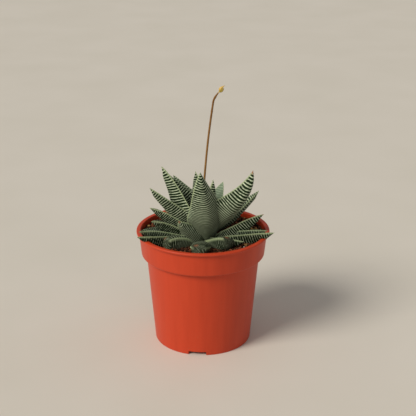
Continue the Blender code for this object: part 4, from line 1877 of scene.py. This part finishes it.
@dataclass
class Studio:
    """A plain pale floor, soft light and the camera. Places are in metres."""

    lens: float = 86.54          # in millimetres, on a sensor 36 mm wide
    eye: tuple[float, float, float] = (0.0, -0.73429, 0.38401)
    forward: tuple[float, float, float] = (0.004908, 0.936602, -0.350362)
    roll: float = -0.207
    floor_size: float = 16.0
    goal: tuple[float, float, float] = (0.0, 0.0, 0.09)      # what the lamps face
    key_place: tuple[float, float, float] = (-1.25, -0.95, 1.3)
    key_strength: float = 2.5
    key_spread: float = 26.0     # how wide the key looks, in degrees: its shadows are soft
    key_tint: str = "#FFF6EA"
    fill_place: tuple[float, float, float] = (1.3, -0.9, 0.9)
    fill_power: float = 0.3
    fill_size: float = 1.6
    fill_tint: str = "#F2F4FF"
    sky: float = 0.42            # how strongly the room lights the plant
    backdrop: float = 1.0        # how bright the room looks past the floor
    sky_tint: str = "#DEDAD7"

    def camera(self) -> None:
        """Place the camera."""
        data = bpy.data.cameras.new("camera")
        data.lens = self.lens
        data.sensor_width = 36.0
        data.clip_start = 0.01
        made = bpy.data.objects.new("camera", data)
        bpy.context.scene.collection.objects.link(made)
        ahead = Vector(self.forward).normalized()
        right = ahead.cross(Vector((0, 0, 1))).normalized()
        above = right.cross(ahead)
        turn = Matrix((right, above, -ahead)).transposed().to_4x4()
        tilt = Matrix.Rotation(math.radians(-self.roll), 4, "Z")
        made.matrix_world = Matrix.Translation(self.eye) @ turn @ tilt
        bpy.context.scene.camera = made

    def floor(self) -> None:
        """Lay the floor."""
        half = self.floor_size / 2
        mesh = bpy.data.meshes.new("studio_floor")
        corners = [(-half, -half, 0), (half, -half, 0), (half, half, 0), (-half, half, 0)]
        mesh.from_pydata(corners, [], [(0, 1, 2, 3)])
        made = plain_object("studio_floor", mesh)
        mesh.materials.append(MattePaint().make())

    def hang(self, data: bpy.types.Light, place: Vector, tint: str) -> None:
        """Hang one soft lamp so that it faces the plant.

        Args:
            data: the lamp.
            place: where it hangs.
            tint: its colour.
        """
        data.color = linear(tint)[:3]
        made = bpy.data.objects.new(data.name, data)
        bpy.context.scene.collection.objects.link(made)
        facing = (Vector(self.goal) - place).to_track_quat("-Z", "Y").to_matrix().to_4x4()
        made.matrix_world = Matrix.Translation(place) @ facing

    def sky_light(self) -> None:
        """Fill the room with even light."""
        world = bpy.data.worlds.new("studio_sky")
        bpy.context.scene.world = world
        world.use_nodes = True
        tree = world.node_tree
        backing = tree.nodes["Background"]
        backing.inputs["Color"].default_value = linear(self.sky_tint)
        seen = socket_of(tree.nodes.new("ShaderNodeLightPath").outputs, "Is Camera Ray")
        strength = add(tree, "ShaderNodeMapRange", {"Value": seen, 3: self.sky, 4: self.backdrop})
        tree.links.new(strength, backing.inputs["Strength"])

    def build(self) -> None:
        """Set up the studio."""
        bpy.context.scene.view_settings.view_transform = "Standard"
        self.camera()
        self.floor()
        key = bpy.data.lights.new("key_lamp", "SUN")
        key.energy = self.key_strength
        key.angle = math.radians(self.key_spread)
        self.hang(key, Vector(self.key_place), self.key_tint)
        fill = bpy.data.lights.new("fill_lamp", "AREA")
        fill.energy = self.fill_power
        fill.size = self.fill_size
        self.hang(fill, Vector(self.fill_place), self.fill_tint)
        self.sky_light()


def main() -> None:
    """Build the pot, its soil and the plant, then the studio."""
    logging.basicConfig(level=logging.INFO, format="%(name)s: %(message)s")
    Pot().build(MouldedPolypropylene().make())
    Soil().build()
    CrownStem().build()
    stalk = Stalk()
    stalk.build()
    Bud().build(stalk)
    Rosette().build()
    Studio().build()


if __name__ == "__main__":
    main()
